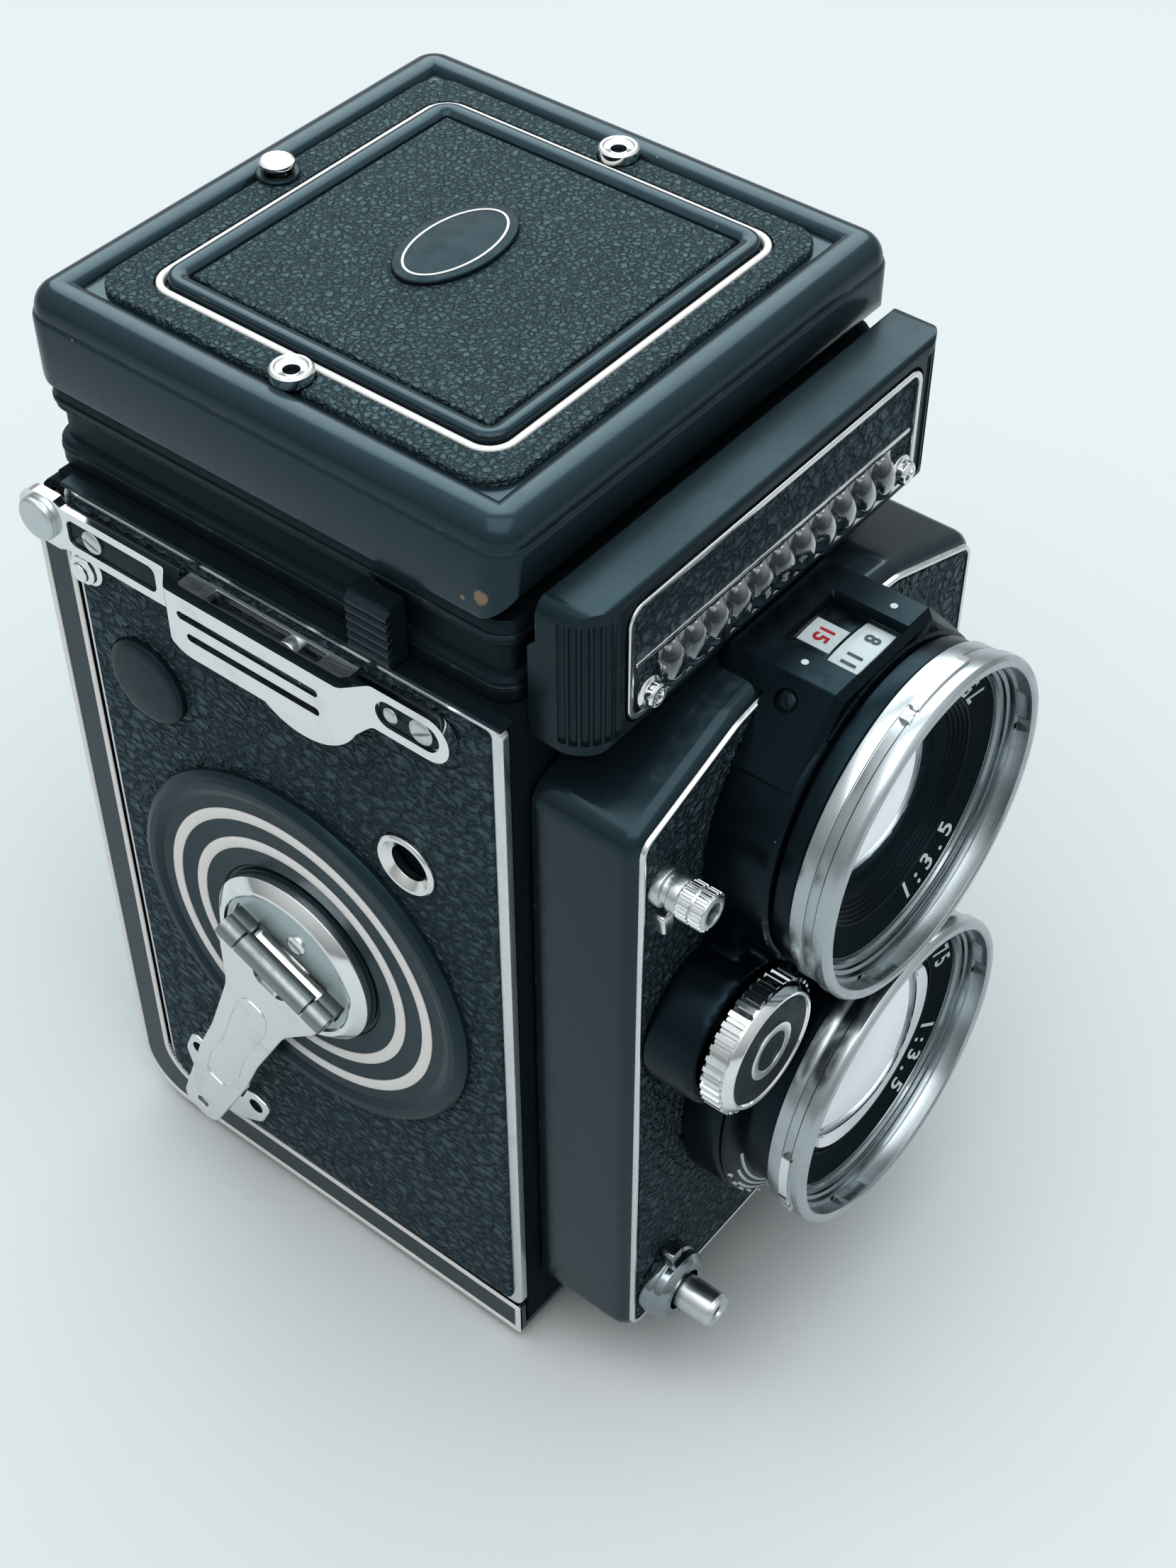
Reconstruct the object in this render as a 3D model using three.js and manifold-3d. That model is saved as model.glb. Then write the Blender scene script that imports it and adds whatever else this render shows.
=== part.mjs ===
// Twin lens reflex camera, in millimetres, +Z up.
// The lenses look along -Y, the winding crank is on the -X side and the focusing knob on the +X side.
// Every piece is drawn around the viewing plane x = 0 with z = 0 at the lower edge of the body,
// and the whole group is then moved so that its origin is the centre of its footprint.
import * as THREE from "three";
import { mergeVertices } from "three/addons/utils/BufferGeometryUtils.js";
import Module from "manifold-3d";

const wasm = await Module();
wasm.setup();

// ---------------------------------------------------------------- driving dimensions
const GAP = 0.3; // clearance between neighbouring pieces
const CASTING_HALF = 36; // half width of the light-tight casting
const PANEL_FACE = 37.4; // outer face of a side panel, from the middle plane
const LEATHER_FACE = 37.9; // outer face of the side leather
const BODY_FRONT = -36.5;
const CASTING_REAR = 32.6;
const DOOR_REAR = 36.7; // outer face of the back
const BODY_TOP = 117;
const LID_HALF = 35.4;
const LID_BOTTOM = 128.6;
const LID_TOP = 141;
const LENS_Z = { viewing: 92.2, taking: 47.2 };
const RIM_R = 22.2; // outer radius of a lens bayonet
const RIM_FRONT = -69.4;
const STANDARD_HALF = 33.8;
const STANDARD_FRONT = -51.6;
const STANDARD_REAR = -37.2;
const CRANK = { y: -2.2, z: 58, angle: THREE.MathUtils.degToRad(24.5), pivotX: -43.6, reach: 46.3 };
const COUNTER = { y: -21.6, z: 86.8 };
const CAP = { y: 19.8, z: 92 };
const BACK_HINGE = { y: 33.6, z: 112.2 };
const LID_HINGE = { y: -30.2, z: 134.4 }; // the lid's rounded front edge turns about it
const TAKE_UP = { y: 19.5, z: 91 };
const FEED = { y: -18.5, z: 15.4 };
const SPOOL_R = 12.1;
const FOCUS = { y: -8, z: 58 };
const FOCUS_FACE = 54; // outer face of the focusing knob's rim
const WHEEL = { x: 22.4, z: 69.7, r: 9.2 };
const RELEASE = { x: -26.5, z: 16.5 };
const FLASH = { x: -29.4, z: 97 };
const FOOT_H = 1.7;

// ---------------------------------------------------------------- outlines
// A closed outline from corners [u, v, fillet radius]; a corner without a radius stays sharp.
function filleted(corners, steps = 4) {
  const points = [];
  corners.forEach(([u, v, radius = 0], i) => {
    const corner = new THREE.Vector2(u, v);
    if (radius === 0) {
      points.push(corner);
      return;
    }
    const before = corners[(i + corners.length - 1) % corners.length];
    const after = corners[(i + 1) % corners.length];
    const back = new THREE.Vector2(before[0], before[1]).sub(corner).normalize();
    const ahead = new THREE.Vector2(after[0], after[1]).sub(corner).normalize();
    const half = Math.acos(THREE.MathUtils.clamp(back.dot(ahead), -1, 1)) / 2;
    const middle = back.clone().add(ahead).normalize();
    const centre = corner.clone().addScaledVector(middle, radius / Math.sin(half));
    const first = corner.clone().addScaledVector(back, radius / Math.tan(half)).sub(centre);
    const turn = Math.sign(back.x * ahead.y - back.y * ahead.x) * (half * 2 - Math.PI);
    for (let step = 0; step <= steps; step += 1) {
      points.push(first.clone().rotateAround(new THREE.Vector2(), (turn * step) / steps).add(centre));
    }
  });
  return points;
}

function circle(u, v, radius, sides = 18) {
  return Array.from({ length: sides }, (_, i) => {
    const angle = (i / sides) * 2 * Math.PI;
    return new THREE.Vector2(u + radius * Math.cos(angle), v + radius * Math.sin(angle));
  });
}

// A circle whose edge is cut into straight teeth, for knurled knobs and wheels.
function toothed(u, v, radius, depth, teeth) {
  const points = circle(u, v, radius, teeth * 2);
  return points.map((point, i) => {
    const inward = i % 2 === 0 ? 0 : depth / radius;
    return point.lerp(new THREE.Vector2(u, v), inward);
  });
}

function rectangle(uLow, uHigh, vLow, vHigh, radius = 0, steps = 4) {
  const corners = [[uLow, vLow], [uHigh, vLow], [uHigh, vHigh], [uLow, vHigh]];
  return filleted(corners.map(([u, v]) => [u, v, radius]), steps);
}

// ---------------------------------------------------------------- solids
const X = new THREE.Vector3(1, 0, 0);
const Y = new THREE.Vector3(0, 1, 0);
const Z = new THREE.Vector3(0, 0, 1);
// Outline axes (u, v) and extrusion axis for a prism along x, y or z. Along y it runs towards -Y.
const PRISM_BASIS = {
  x: new THREE.Matrix4().makeBasis(Y, Z, X),
  y: new THREE.Matrix4().makeBasis(X, Z, Y.clone().negate()),
  z: new THREE.Matrix4(),
};
// Where the radius and the axis of a lathe profile go, for a turned piece along x, y or z.
const TURNED_BASIS = {
  x: new THREE.Matrix4().makeBasis(Z, X, Y),
  y: new THREE.Matrix4(),
  z: new THREE.Matrix4().makeBasis(Y, Z, X),
};

function signedVolume(positions, triangles) {
  const corner = (i) => new THREE.Vector3().fromArray(positions, triangles[i] * 3);
  let volume = 0;
  for (let i = 0; i < triangles.length; i += 3) {
    volume += corner(i).dot(corner(i + 1).cross(corner(i + 2))) / 6;
  }
  return volume;
}

// A closed three.js geometry as a manifold-3d solid whose faces point out.
function solidOf(geometry) {
  geometry.deleteAttribute("normal");
  geometry.deleteAttribute("uv");
  const merged = mergeVertices(geometry, 1e-4);
  const vertProperties = new Float32Array(merged.attributes.position.array);
  const triVerts = new Uint32Array(merged.index.array);
  if (signedVolume(vertProperties, triVerts) < 0) {
    triVerts.reverse();
  }
  return new wasm.Manifold(new wasm.Mesh({ numProp: 3, vertProperties, triVerts }));
}

function prism(axis, outline, from, to, placing = new THREE.Matrix4()) {
  const geometry = new THREE.ExtrudeGeometry(new THREE.Shape(outline), {
    depth: to - from,
    bevelEnabled: false,
  });
  geometry.translate(0, 0, axis === "y" ? -to : from);
  geometry.applyMatrix4(PRISM_BASIS[axis]);
  geometry.applyMatrix4(placing);
  return solidOf(geometry);
}

// A round bar along an axis; the centre is given in the two other coordinates, in x, y, z order.
function rod(axis, u, v, radius, from, to, sides = 14, placing = new THREE.Matrix4()) {
  return prism(axis, circle(u, v, radius, sides), from, to, placing);
}

function box(xLow, xHigh, yLow, yHigh, zLow, zHigh, placing = new THREE.Matrix4()) {
  return prism("z", rectangle(xLow, xHigh, yLow, yHigh), zLow, zHigh, placing);
}

// A body of revolution from [radius, distance along the axis] points.
function turned(axis, u, v, profile, sides = 24) {
  const closed = profile[0][0] > 0 ? [...profile, profile[0]] : profile;
  const geometry = new THREE.LatheGeometry(
    closed.map(([radius, along]) => new THREE.Vector2(radius, along)),
    sides,
  );
  geometry.applyMatrix4(TURNED_BASIS[axis]);
  const offset = { x: [0, u, v], y: [u, 0, v], z: [u, v, 0] }[axis];
  geometry.translate(...offset);
  return solidOf(geometry);
}

const joined = (...solids) => solids.reduce((sum, solid) => sum.add(solid));
const cut = (solid, ...tools) => tools.reduce((rest, tool) => rest.subtract(tool), solid);

// ---------------------------------------------------------------- finishes and assembly
const FINISHES = {
  blackPaint: { color: 0x101214, roughness: 0.35, metalness: 0.1 },
  leather: { color: 0x1b1e20, roughness: 0.75, metalness: 0 },
  chrome: { color: 0xd4d8da, roughness: 0.16, metalness: 1 },
  satin: { color: 0xb4b9bc, roughness: 0.4, metalness: 1 },
  glass: { color: 0x8fa6ad, roughness: 0.03, metalness: 0 },
  mirror: { color: 0xe6ebee, roughness: 0.02, metalness: 1 },
  plastic: { color: 0x17191b, roughness: 0.5, metalness: 0 },
};
const camera = new THREE.Group();

function piece(name, finish, solid) {
  const mesh = solid.getMesh();
  const geometry = new THREE.BufferGeometry();
  geometry.setAttribute("position", new THREE.BufferAttribute(mesh.vertProperties, 3));
  geometry.setIndex(new THREE.BufferAttribute(mesh.triVerts, 1));
  geometry.computeVertexNormals();
  const part = new THREE.Mesh(geometry, new THREE.MeshStandardMaterial(FINISHES[finish]));
  part.name = name;
  camera.add(part);
}

// ---------------------------------------------------------------- body casting
const SPOOL_ROOM = SPOOL_R + 0.6;
const MIRROR_RISE = 95.4; // the mirror's face is the 45 degree plane z = y + MIRROR_RISE
const SIDE_BAND_Z = 6.5; // lower edge of a side panel, above the back's folded cheek
const HINGE_EAR_R = 2.6;

function bodyCasting() {
  const shell = prism("x", filleted([
    [BODY_FRONT, 2.4], [CASTING_REAR, 2.4, 5], [CASTING_REAR, BODY_TOP - 0.1], [BODY_FRONT, BODY_TOP - 0.1],
  ]), -CASTING_HALF, CASTING_HALF);
  const ears = [-1, 1].map((side) => {
    const inner = side * 32.6;
    const outer = side * CASTING_HALF;
    return rod("x", BACK_HINGE.y, BACK_HINGE.z, HINGE_EAR_R, Math.min(inner, outer), Math.max(inner, outer));
  });
  const floor = MIRROR_RISE - 2.5;
  const mirrorChamber = prism("x", filleted([
    [-34.5, 72], [72 - floor, 72], [BODY_TOP + 1 - floor, BODY_TOP + 1], [-34.5, BODY_TOP + 1],
  ]), -31, 31);
  const lightChamber = prism("x", filleted([
    [-37.5, 33], [33.6, 19], [33.6, 75], [-37.5, 61.5],
  ]), -28.5, 28.5);
  const feedChamber = joined(
    rod("x", FEED.y, FEED.z, SPOOL_ROOM, -33.4, 33.4),
    box(-33.4, 33.4, FEED.y - SPOOL_ROOM, FEED.y + SPOOL_ROOM, 1, FEED.z),
  );
  const takeUpChamber = joined(
    rod("x", TAKE_UP.y, TAKE_UP.z, SPOOL_ROOM, -33.4, 33.4),
    box(-33.4, 33.4, TAKE_UP.y, 34, TAKE_UP.z - SPOOL_ROOM, TAKE_UP.z + SPOOL_ROOM),
  );
  return cut(
    joined(shell, ...ears),
    mirrorChamber,
    lightChamber,
    feedChamber,
    takeUpChamber,
    rod("y", 0, LENS_Z.viewing, 19.5, -38, -34, 20),
    rod("x", CRANK.y, CRANK.z, 4.4, -37, -28),
    rod("x", COUNTER.y + 4.8, COUNTER.z - 2.4, 8.6, -37, -34.4),
    rod("x", COUNTER.y + 4.8, COUNTER.z - 2.4, 1.6, -37, -30, 12),
    rod("x", FOCUS.y, FOCUS.z, 3.6, 28, 37),
    rod("x", FEED.y, FEED.z, 3, 33, 37),
    rod("x", TAKE_UP.y, TAKE_UP.z, 3, 33, 37),
    box(-32.4, 32.4, 30.6, 33, BACK_HINGE.z - 3, BACK_HINGE.z + 3),
    rod("x", BACK_HINGE.y, BACK_HINGE.z, 1.5, -37, 37, 12),
  );
}

function sleeve() {
  return cut(
    prism("y", rectangle(-30.6, 30.6, 13, 103.5, 2, 2), -44, BODY_FRONT - GAP),
    prism("y", rectangle(-29.6, 29.6, 14, 102.5, 1.2, 2), -45, -36),
  );
}

const PANEL_CORNERS = [
  [BODY_FRONT + 0.1, SIDE_BAND_Z, 1.5], [30.7, SIDE_BAND_Z, 5],
  [30.7, BODY_TOP - 0.4, 1.5], [BODY_FRONT + 0.1, BODY_TOP - 0.4, 1.5],
];
const LEATHER_CORNERS = [
  [BODY_FRONT + 1.4, SIDE_BAND_Z + 1.3, 1], [29.4, SIDE_BAND_Z + 1.3, 3.7],
  [29.4, BODY_TOP - 1.7, 1], [BODY_FRONT + 1.4, BODY_TOP - 1.7, 1],
];

// A flat sheet on one side of the body, from the inner to the outer distance off the middle plane.
function sideSheet(side, corners, inner, outer, holes) {
  const span = [side * inner, side * outer].sort((a, b) => a - b);
  const sheet = prism("x", filleted(corners), ...span);
  return cut(sheet, ...holes.map(([y, z, radius]) => rod("x", y, z, radius, span[0] - 1, span[1] + 1, 20)));
}

piece("body_casting", "blackPaint", bodyCasting());
piece("light_shield_sleeve", "blackPaint", sleeve());
piece("crank_side_panel", "satin", sideSheet(-1, PANEL_CORNERS, CASTING_HALF + 0.2, PANEL_FACE, [
  [CRANK.y, CRANK.z, 4.4], [COUNTER.y, COUNTER.z, 3.3], [BACK_HINGE.y, BACK_HINGE.z, 1.5],
]));
piece("crank_side_leather", "leather", sideSheet(-1, LEATHER_CORNERS, PANEL_FACE + 0.1, LEATHER_FACE, [
  [CRANK.y, CRANK.z, 28.5], [COUNTER.y, COUNTER.z, 5.2], [CAP.y, CAP.z, 6.4],
]));
piece("focus_side_panel", "satin", sideSheet(1, PANEL_CORNERS, CASTING_HALF + 0.2, PANEL_FACE, [
  [FOCUS.y, FOCUS.z, 3.6], [FEED.y, FEED.z, 3], [TAKE_UP.y, TAKE_UP.z, 3],
]));
piece("focus_side_leather", "leather", sideSheet(1, LEATHER_CORNERS, PANEL_FACE + 0.1, LEATHER_FACE, [
  [FOCUS.y, FOCUS.z, 21], [FEED.y, FEED.z, 9], [TAKE_UP.y, TAKE_UP.z, 9],
]));

// ---------------------------------------------------------------- optics and film inside
piece("reflex_mirror", "mirror", prism("x", filleted([
  [-20, MIRROR_RISE - 20], [-19, MIRROR_RISE - 21], [20.5, MIRROR_RISE + 18.5], [19.5, MIRROR_RISE + 19.5],
]), -27, 27));
piece("focusing_screen", "glass", box(-29.5, 29.5, -33.5, 21.5, BODY_TOP - 1.8, BODY_TOP - 0.3));

// A film spool: a core with a disc at each end and a driving socket in the end on the knob side.
function spool(place) {
  const half = 32.6;
  return cut(
    joined(
      rod("x", place.y, place.z, 6, -half, half, 16),
      rod("x", place.y, place.z, SPOOL_R, -half, 1 - half),
      rod("x", place.y, place.z, SPOOL_R, half - 1, half),
    ),
    rod("x", place.y, place.z, 2.9, half - 6, half + 1, 12),
  );
}
piece("take_up_spool", "plastic", spool(TAKE_UP));
piece("feed_spool", "plastic", spool(FEED));

// ---------------------------------------------------------------- crank side fittings
piece("crank_dish", "blackPaint", turned("x", CRANK.y, CRANK.z, [
  [4.8, -PANEL_FACE - 0.1], [27.7, -PANEL_FACE - 0.1], [27.7, -38.5], [26.8, -39],
  [13.6, -39.6], [13.4, -38.6], [4.8, -38.6],
], 36));
piece("counter_window_ring", "chrome", turned("x", COUNTER.y, COUNTER.z, [
  [2.6, -PANEL_FACE - 0.1], [4.9, -PANEL_FACE - 0.1], [4.9, -38.3], [4.4, -38.6], [3.9, -38.6],
], 18));
piece("counter_dial", "satin", joined(
  rod("x", COUNTER.y + 4.8, COUNTER.z - 2.4, 8, -35.7, -35, 24),
  rod("x", COUNTER.y + 4.8, COUNTER.z - 2.4, 1.3, -35.1, -31.4, 12),
));
piece("switch_cap", "blackPaint", turned("x", CAP.y, CAP.z, [
  [0, -PANEL_FACE - 0.1], [6, -PANEL_FACE - 0.1], [6, -38.6], [4.8, -39.1], [0, -39.3],
], 24));

// The crank is drawn with its hinge along local y and its lever pointing down local -z.
const crankPlace = new THREE.Matrix4()
  .makeTranslation(0, CRANK.y, CRANK.z)
  .multiply(new THREE.Matrix4().makeRotationX(CRANK.angle));

function crankBoss() {
  const flange = turned("x", CRANK.y, CRANK.z, [
    [0, -30], [4, -30], [4, -38.95], [12.9, -38.95], [12.9, -40.4], [11.7, -41.7],
    [10.6, -41.7], [10.4, -40.8], [0, -40.8],
  ]);
  const lugs = [-1, 1].map((side) => {
    const span = [side * 6, side * 9.2].sort((a, b) => a - b);
    return box(CRANK.pivotX - 1.3, -40.7, ...span, -1.9, 1.9, crankPlace);
  });
  const pinHole = rod("y", CRANK.pivotX, 0, 1.25, -11, 11, 12, crankPlace);
  return cut(joined(flange, ...lugs), pinHole);
}

function crankLever() {
  const plateFrom = CRANK.pivotX - 0.1;
  const blade = prism("x", filleted([
    [-5.2, 0], [-5.2, -4, 2], [-2.9, -22, 20], [-3.6, -CRANK.reach + 1, 3], [-3, -CRANK.reach - 3.3, 2.6],
    [3, -CRANK.reach - 3.3, 2.6], [3.6, -CRANK.reach + 1, 3], [2.9, -22, 20], [5.2, -4, 2], [5.2, 0],
  ], 3), plateFrom, plateFrom + 1.2, crankPlace);
  const barrel = rod("y", CRANK.pivotX, 0, 1.7, -5.6, 5.6, 16, crankPlace);
  const grip = rod("x", 0, -CRANK.reach, 2.4, plateFrom + 1, -39.7, 16, crankPlace);
  const rivet = rod("x", 0, -CRANK.reach, 1.6, plateFrom - 0.4, plateFrom + 0.1, 16, crankPlace);
  const pinHole = rod("y", CRANK.pivotX, 0, 1.25, -7, 7, 12, crankPlace);
  return cut(joined(blade, barrel, grip, rivet), pinHole);
}

function crankRestClip() {
  const arch = (radius) => circle(0, -CRANK.reach, radius, 20);
  return cut(
    prism("x", arch(5.4), -39.3, -LEATHER_FACE - 0.2, crankPlace),
    prism("x", arch(3.6), -40, -37, crankPlace),
    box(-40, -37, -6, 6, -CRANK.reach + 1.5, -CRANK.reach + 7, crankPlace),
  );
}
piece("crank_boss", "chrome", crankBoss());
piece("crank_hinge_pin", "satin", rod("y", CRANK.pivotX, 0, 0.95, -9.1, 9.1, 12, crankPlace));
piece("crank_lever", "chrome", crankLever());
piece("crank_rest_clip", "chrome", crankRestClip());

// A strap bracket: a bar along the top of the side with a raised bridge for the strap.
function strapBracket(side) {
  const flat = [side * 38.2, side * 39.6];
  const raised = [side * 40.7, side * 42.1];
  const section = [
    [flat[0], 37.5], [flat[0], 10.5], [raised[0], 8], [raised[0], -16], [flat[0], -18.5], [flat[0], -32],
    [flat[1], -32], [flat[1], -20], [raised[1], -17.4], [raised[1], 9.4], [flat[1], 12], [flat[1], 37.5],
  ];
  const span = [side * 37, side * 43].sort((a, b) => a - b);
  const outline = prism("x", filleted([
    [-30.8, 109, 3.1], [29, 109, 2], [30, 107.8, 2], [36.8, 107.8, 4.2], [36.8, 116.3, 4.2],
    [30, 116.3, 2], [29, 115.3, 2], [-30.8, 115.3, 3.1],
  ], 3), ...span);
  const slot = prism("x", rectangle(-12.5, 5, 110.6, 113.7, 1.4, 3), ...span);
  const bar = prism("z", filleted(section), 105, 118).intersect(outline);
  const head = rod("x", 32.5, 112, 4, ...[side * 39.5, side * 40.5].sort((a, b) => a - b), 24);
  return cut(joined(bar, head), slot);
}
piece("strap_bracket_left", "chrome", strapBracket(-1));
piece("strap_bracket_right", "chrome", strapBracket(1));

// ---------------------------------------------------------------- focusing side fittings
piece("focus_knob", "satin", cut(
  joined(
    prism("x", toothed(FOCUS.y, FOCUS.z, 19.5, 0.8, 28), 42, FOCUS_FACE - 2),
    rod("x", FOCUS.y, FOCUS.z, 18.3, 38.3, FOCUS_FACE, 28),
    rod("x", FOCUS.y, FOCUS.z, 3.2, 30, 38.5),
  ),
  rod("x", FOCUS.y, FOCUS.z, 13.2, FOCUS_FACE - 1, FOCUS_FACE + 1, 20),
  rod("x", FOCUS.y, FOCUS.z, 1.8, FOCUS_FACE - 4, FOCUS_FACE + 1, 12),
));
piece("film_speed_dial", "blackPaint", joined(
  prism("x", toothed(FOCUS.y, FOCUS.z, 12.9, 0.5, 18), FOCUS_FACE - 0.7, FOCUS_FACE + 1.6),
  rod("x", FOCUS.y, FOCUS.z, 7.5, FOCUS_FACE + 1.5, FOCUS_FACE + 2.6, 24),
  rod("x", FOCUS.y, FOCUS.z, 1.5, FOCUS_FACE - 3.4, FOCUS_FACE - 0.6, 12),
));

function spoolKnob(place) {
  return joined(
    prism("x", toothed(place.y, place.z, 8.2, 0.5, 16), 39.4, 43.6),
    rod("x", place.y, place.z, 7.3, 38.2, 44.4, 16),
    rod("x", place.y, place.z, 2.6, 28.2, 38.4, 12),
  );
}
piece("upper_spool_knob", "satin", spoolKnob(TAKE_UP));
piece("lower_spool_knob", "satin", spoolKnob(FEED));

// ---------------------------------------------------------------- back
const HINGE_HALF = 32; // half length of the back's hinge knuckle
const DOOR_HALF = 37.5;
const TRIPOD_Y = 4;
const LATCH_Y = -20;

function backDoor() {
  const band = prism("x", filleted([
    [BODY_FRONT + 0.3, 0], [DOOR_REAR, 0, 8], [DOOR_REAR, 109.2], [31, 109.2],
    [31, SIDE_BAND_Z - GAP, 5.3], [BODY_FRONT + 0.3, SIDE_BAND_Z - GAP],
  ], 6), -DOOR_HALF, DOOR_HALF);
  const inside = prism("x", filleted([
    [-40, 1.5], [DOOR_REAR - 1.5, 1.5, 6.5], [DOOR_REAR - 1.5, 120], [-40, 120],
  ], 6), -CASTING_HALF - GAP, CASTING_HALF + GAP);
  const web = box(-HINGE_HALF, HINGE_HALF, 34.4, DOOR_REAR, 108.5, BACK_HINGE.z);
  const knuckle = rod("x", BACK_HINGE.y, BACK_HINGE.z, 2.3, -HINGE_HALF, HINGE_HALF);
  const feet = [-27, 27].flatMap((x) => [-29, 27].map((y) => rod("z", x, y, 2.8, -FOOT_H, 0.5, 16)));
  return cut(
    joined(cut(band, inside), web, knuckle, ...feet),
    rod("x", BACK_HINGE.y, BACK_HINGE.z, 1.5, -33, 33, 12),
    rod("z", 0, TRIPOD_Y, 6.6, -1, 3),
    rod("z", 0, LATCH_Y, 2.6, -1, 3, 16),
  );
}
piece("back_door", "blackPaint", backDoor());
piece("back_hinge_pin", "satin", rod("x", BACK_HINGE.y, BACK_HINGE.z, 1.2, -37.6, 37.6, 12));
piece("pressure_plate", "blackPaint", box(-30, 30, CASTING_REAR + 0.4, 34.6, 17, 77));
piece("tripod_socket", "satin", turned("z", 0, TRIPOD_Y, [
  [3.1, -1.4], [9, -1.4], [9, -0.3], [6.3, -0.3], [6.3, 1.2], [3.1, 1.2],
], 16));
piece("back_latch", "satin", joined(
  prism("z", filleted([
    [-4.5, LATCH_Y - 4.5, 4], [12, LATCH_Y - 3, 2.6], [12, LATCH_Y + 3, 2.6], [-4.5, LATCH_Y + 4.5, 4],
  ]), -1.4, -0.3),
  rod("z", 0, LATCH_Y, 2.3, -0.4, 1.3, 16),
));

// ---------------------------------------------------------------- focusing hood
const SKIRT_TOP = 128.2;

function hoodBase() {
  const skirt = (half, front, rear, from, to, radius) =>
    prism("z", rectangle(-half, half, front, rear, radius), from, to);
  return cut(
    joined(
      skirt(34.6, -35.4, 34.9, BODY_TOP + 0.2, 120.5, 3),
      skirt(33.6, -34.4, 33.9, 120.4, 124.5, 3),
      skirt(34.4, -35.2, 34.7, 124.4, SKIRT_TOP, 3),
    ),
    skirt(30.5, -33, 28, 116, 130, 1),
  );
}

// The lid is an upturned tray; its front edge is rounded about the hinge so that it can swing up.
function hoodLid() {
  const plan = prism("z", rectangle(-LID_HALF, LID_HALF, -36, 35.5, 3.2), LID_BOTTOM, LID_TOP);
  const side = prism("x", filleted([
    [-36, LID_BOTTOM, LID_HINGE.z - LID_BOTTOM], [35.5, LID_BOTTOM], [35.5, LID_TOP, 2.2], [-36, LID_TOP, 4],
  ]), -40, 40);
  const across = prism("y", filleted([
    [-LID_HALF, LID_BOTTOM], [LID_HALF, LID_BOTTOM], [LID_HALF, LID_TOP, 2.2], [-LID_HALF, LID_TOP, 2.2],
  ]), -40, 40);
  const hollow = prism("z", rectangle(-34.2, 34.2, -34.6, 34.3, 2.4), LID_BOTTOM - 1, LID_TOP - 2.2);
  return cut(
    plan.intersect(side).intersect(across),
    hollow,
    prism("z", rectangle(-24.4, 24.4, -25.2, 23.6, 2.4), LID_TOP - 4, LID_TOP + 1),
  );
}

// The magnifier: a lens in a square carrier hung from an arm on the lid's underside.
function magnifier() {
  return joined(
    prism("z", rectangle(-14, 14, -2, 26, 3), 135.4, 137),
    rod("z", 0, 12, 12, 134.6, 137.8, 20),
    box(-10, 10, 25.5, 31.5, 137.2, LID_TOP - 2.4),
    box(-10, 10, 24.6, 26, 136.5, LID_TOP - 2.6),
  );
}

// A fixed round fitting on the lid: the shank passes through the top plate.
function eyelet(x) {
  return turned("z", x, -0.5, [
    [1.1, LID_TOP + 0.1], [3.1, LID_TOP + 0.1], [3.1, LID_TOP + 0.9], [2.6, LID_TOP + 1.3],
    [1.5, LID_TOP + 1.3], [1.1, LID_TOP + 0.8],
  ], 14);
}

const FLAP_THICK = 0.8;
function sideFlap(side) {
  const root = side * 31.6;
  const tip = side * 2.2;
  const outline = [[root, 29.5], [tip, 29.5], [tip, -12], [side * 17, -26], [root, -27.5]];
  return prism("z", filleted(outline), 131.1, 131.1 + FLAP_THICK);
}

function rearFlap() {
  const reach = 24;
  return prism("z", filleted([
    [-30.6, 31.6], [30.6, 31.6], [30.6 - reach, 31.6 - reach, 2], [-30.6 + reach, 31.6 - reach, 2],
  ]), 129.4, 129.4 + FLAP_THICK);
}

function hoodCatch(side) {
  const span = [side * 35.2, side * 38.4].sort((a, b) => a - b);
  const ribs = Array.from({ length: 5 }, (_, i) => {
    const z = 118.9 + i * 1.6;
    return prism("y", circle(side * 38.5, z, 0.45, 8), -23, -14);
  });
  return cut(box(...span, -22.5, -14.7, 117.6, 126.4), ...ribs);
}
piece("hood_base", "blackPaint", hoodBase());
piece("hood_lid", "blackPaint", hoodLid());
piece("sports_finder_door", "leather", prism(
  "z", rectangle(-24.1, 24.1, -24.9, 23.3, 2.1), LID_TOP - 1.8, LID_TOP + 0.6,
));
piece("lid_button", "chrome", turned("z", 0, 28.4, [
  [0, LID_TOP + 0.6], [2.6, LID_TOP + 0.6], [2.6, LID_TOP + 1.1], [1.6, LID_TOP + 1.9], [0, LID_TOP + 2.1],
], 20));
piece("lid_eyelet_left", "chrome", eyelet(-28.2));
piece("lid_eyelet_right", "chrome", eyelet(28.2));
piece("magnifier", "glass", magnifier());
piece("hood_flap_left", "blackPaint", sideFlap(-1));
piece("hood_flap_right", "blackPaint", sideFlap(1));
piece("hood_flap_rear", "blackPaint", rearFlap());
piece("hood_catch_left", "blackPaint", hoodCatch(-1));
piece("hood_catch_right", "blackPaint", hoodCatch(1));

// ---------------------------------------------------------------- nameplate block
const PLATE_FRONT = -45.2;
const PLATE_TOP = 133.2;

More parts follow.
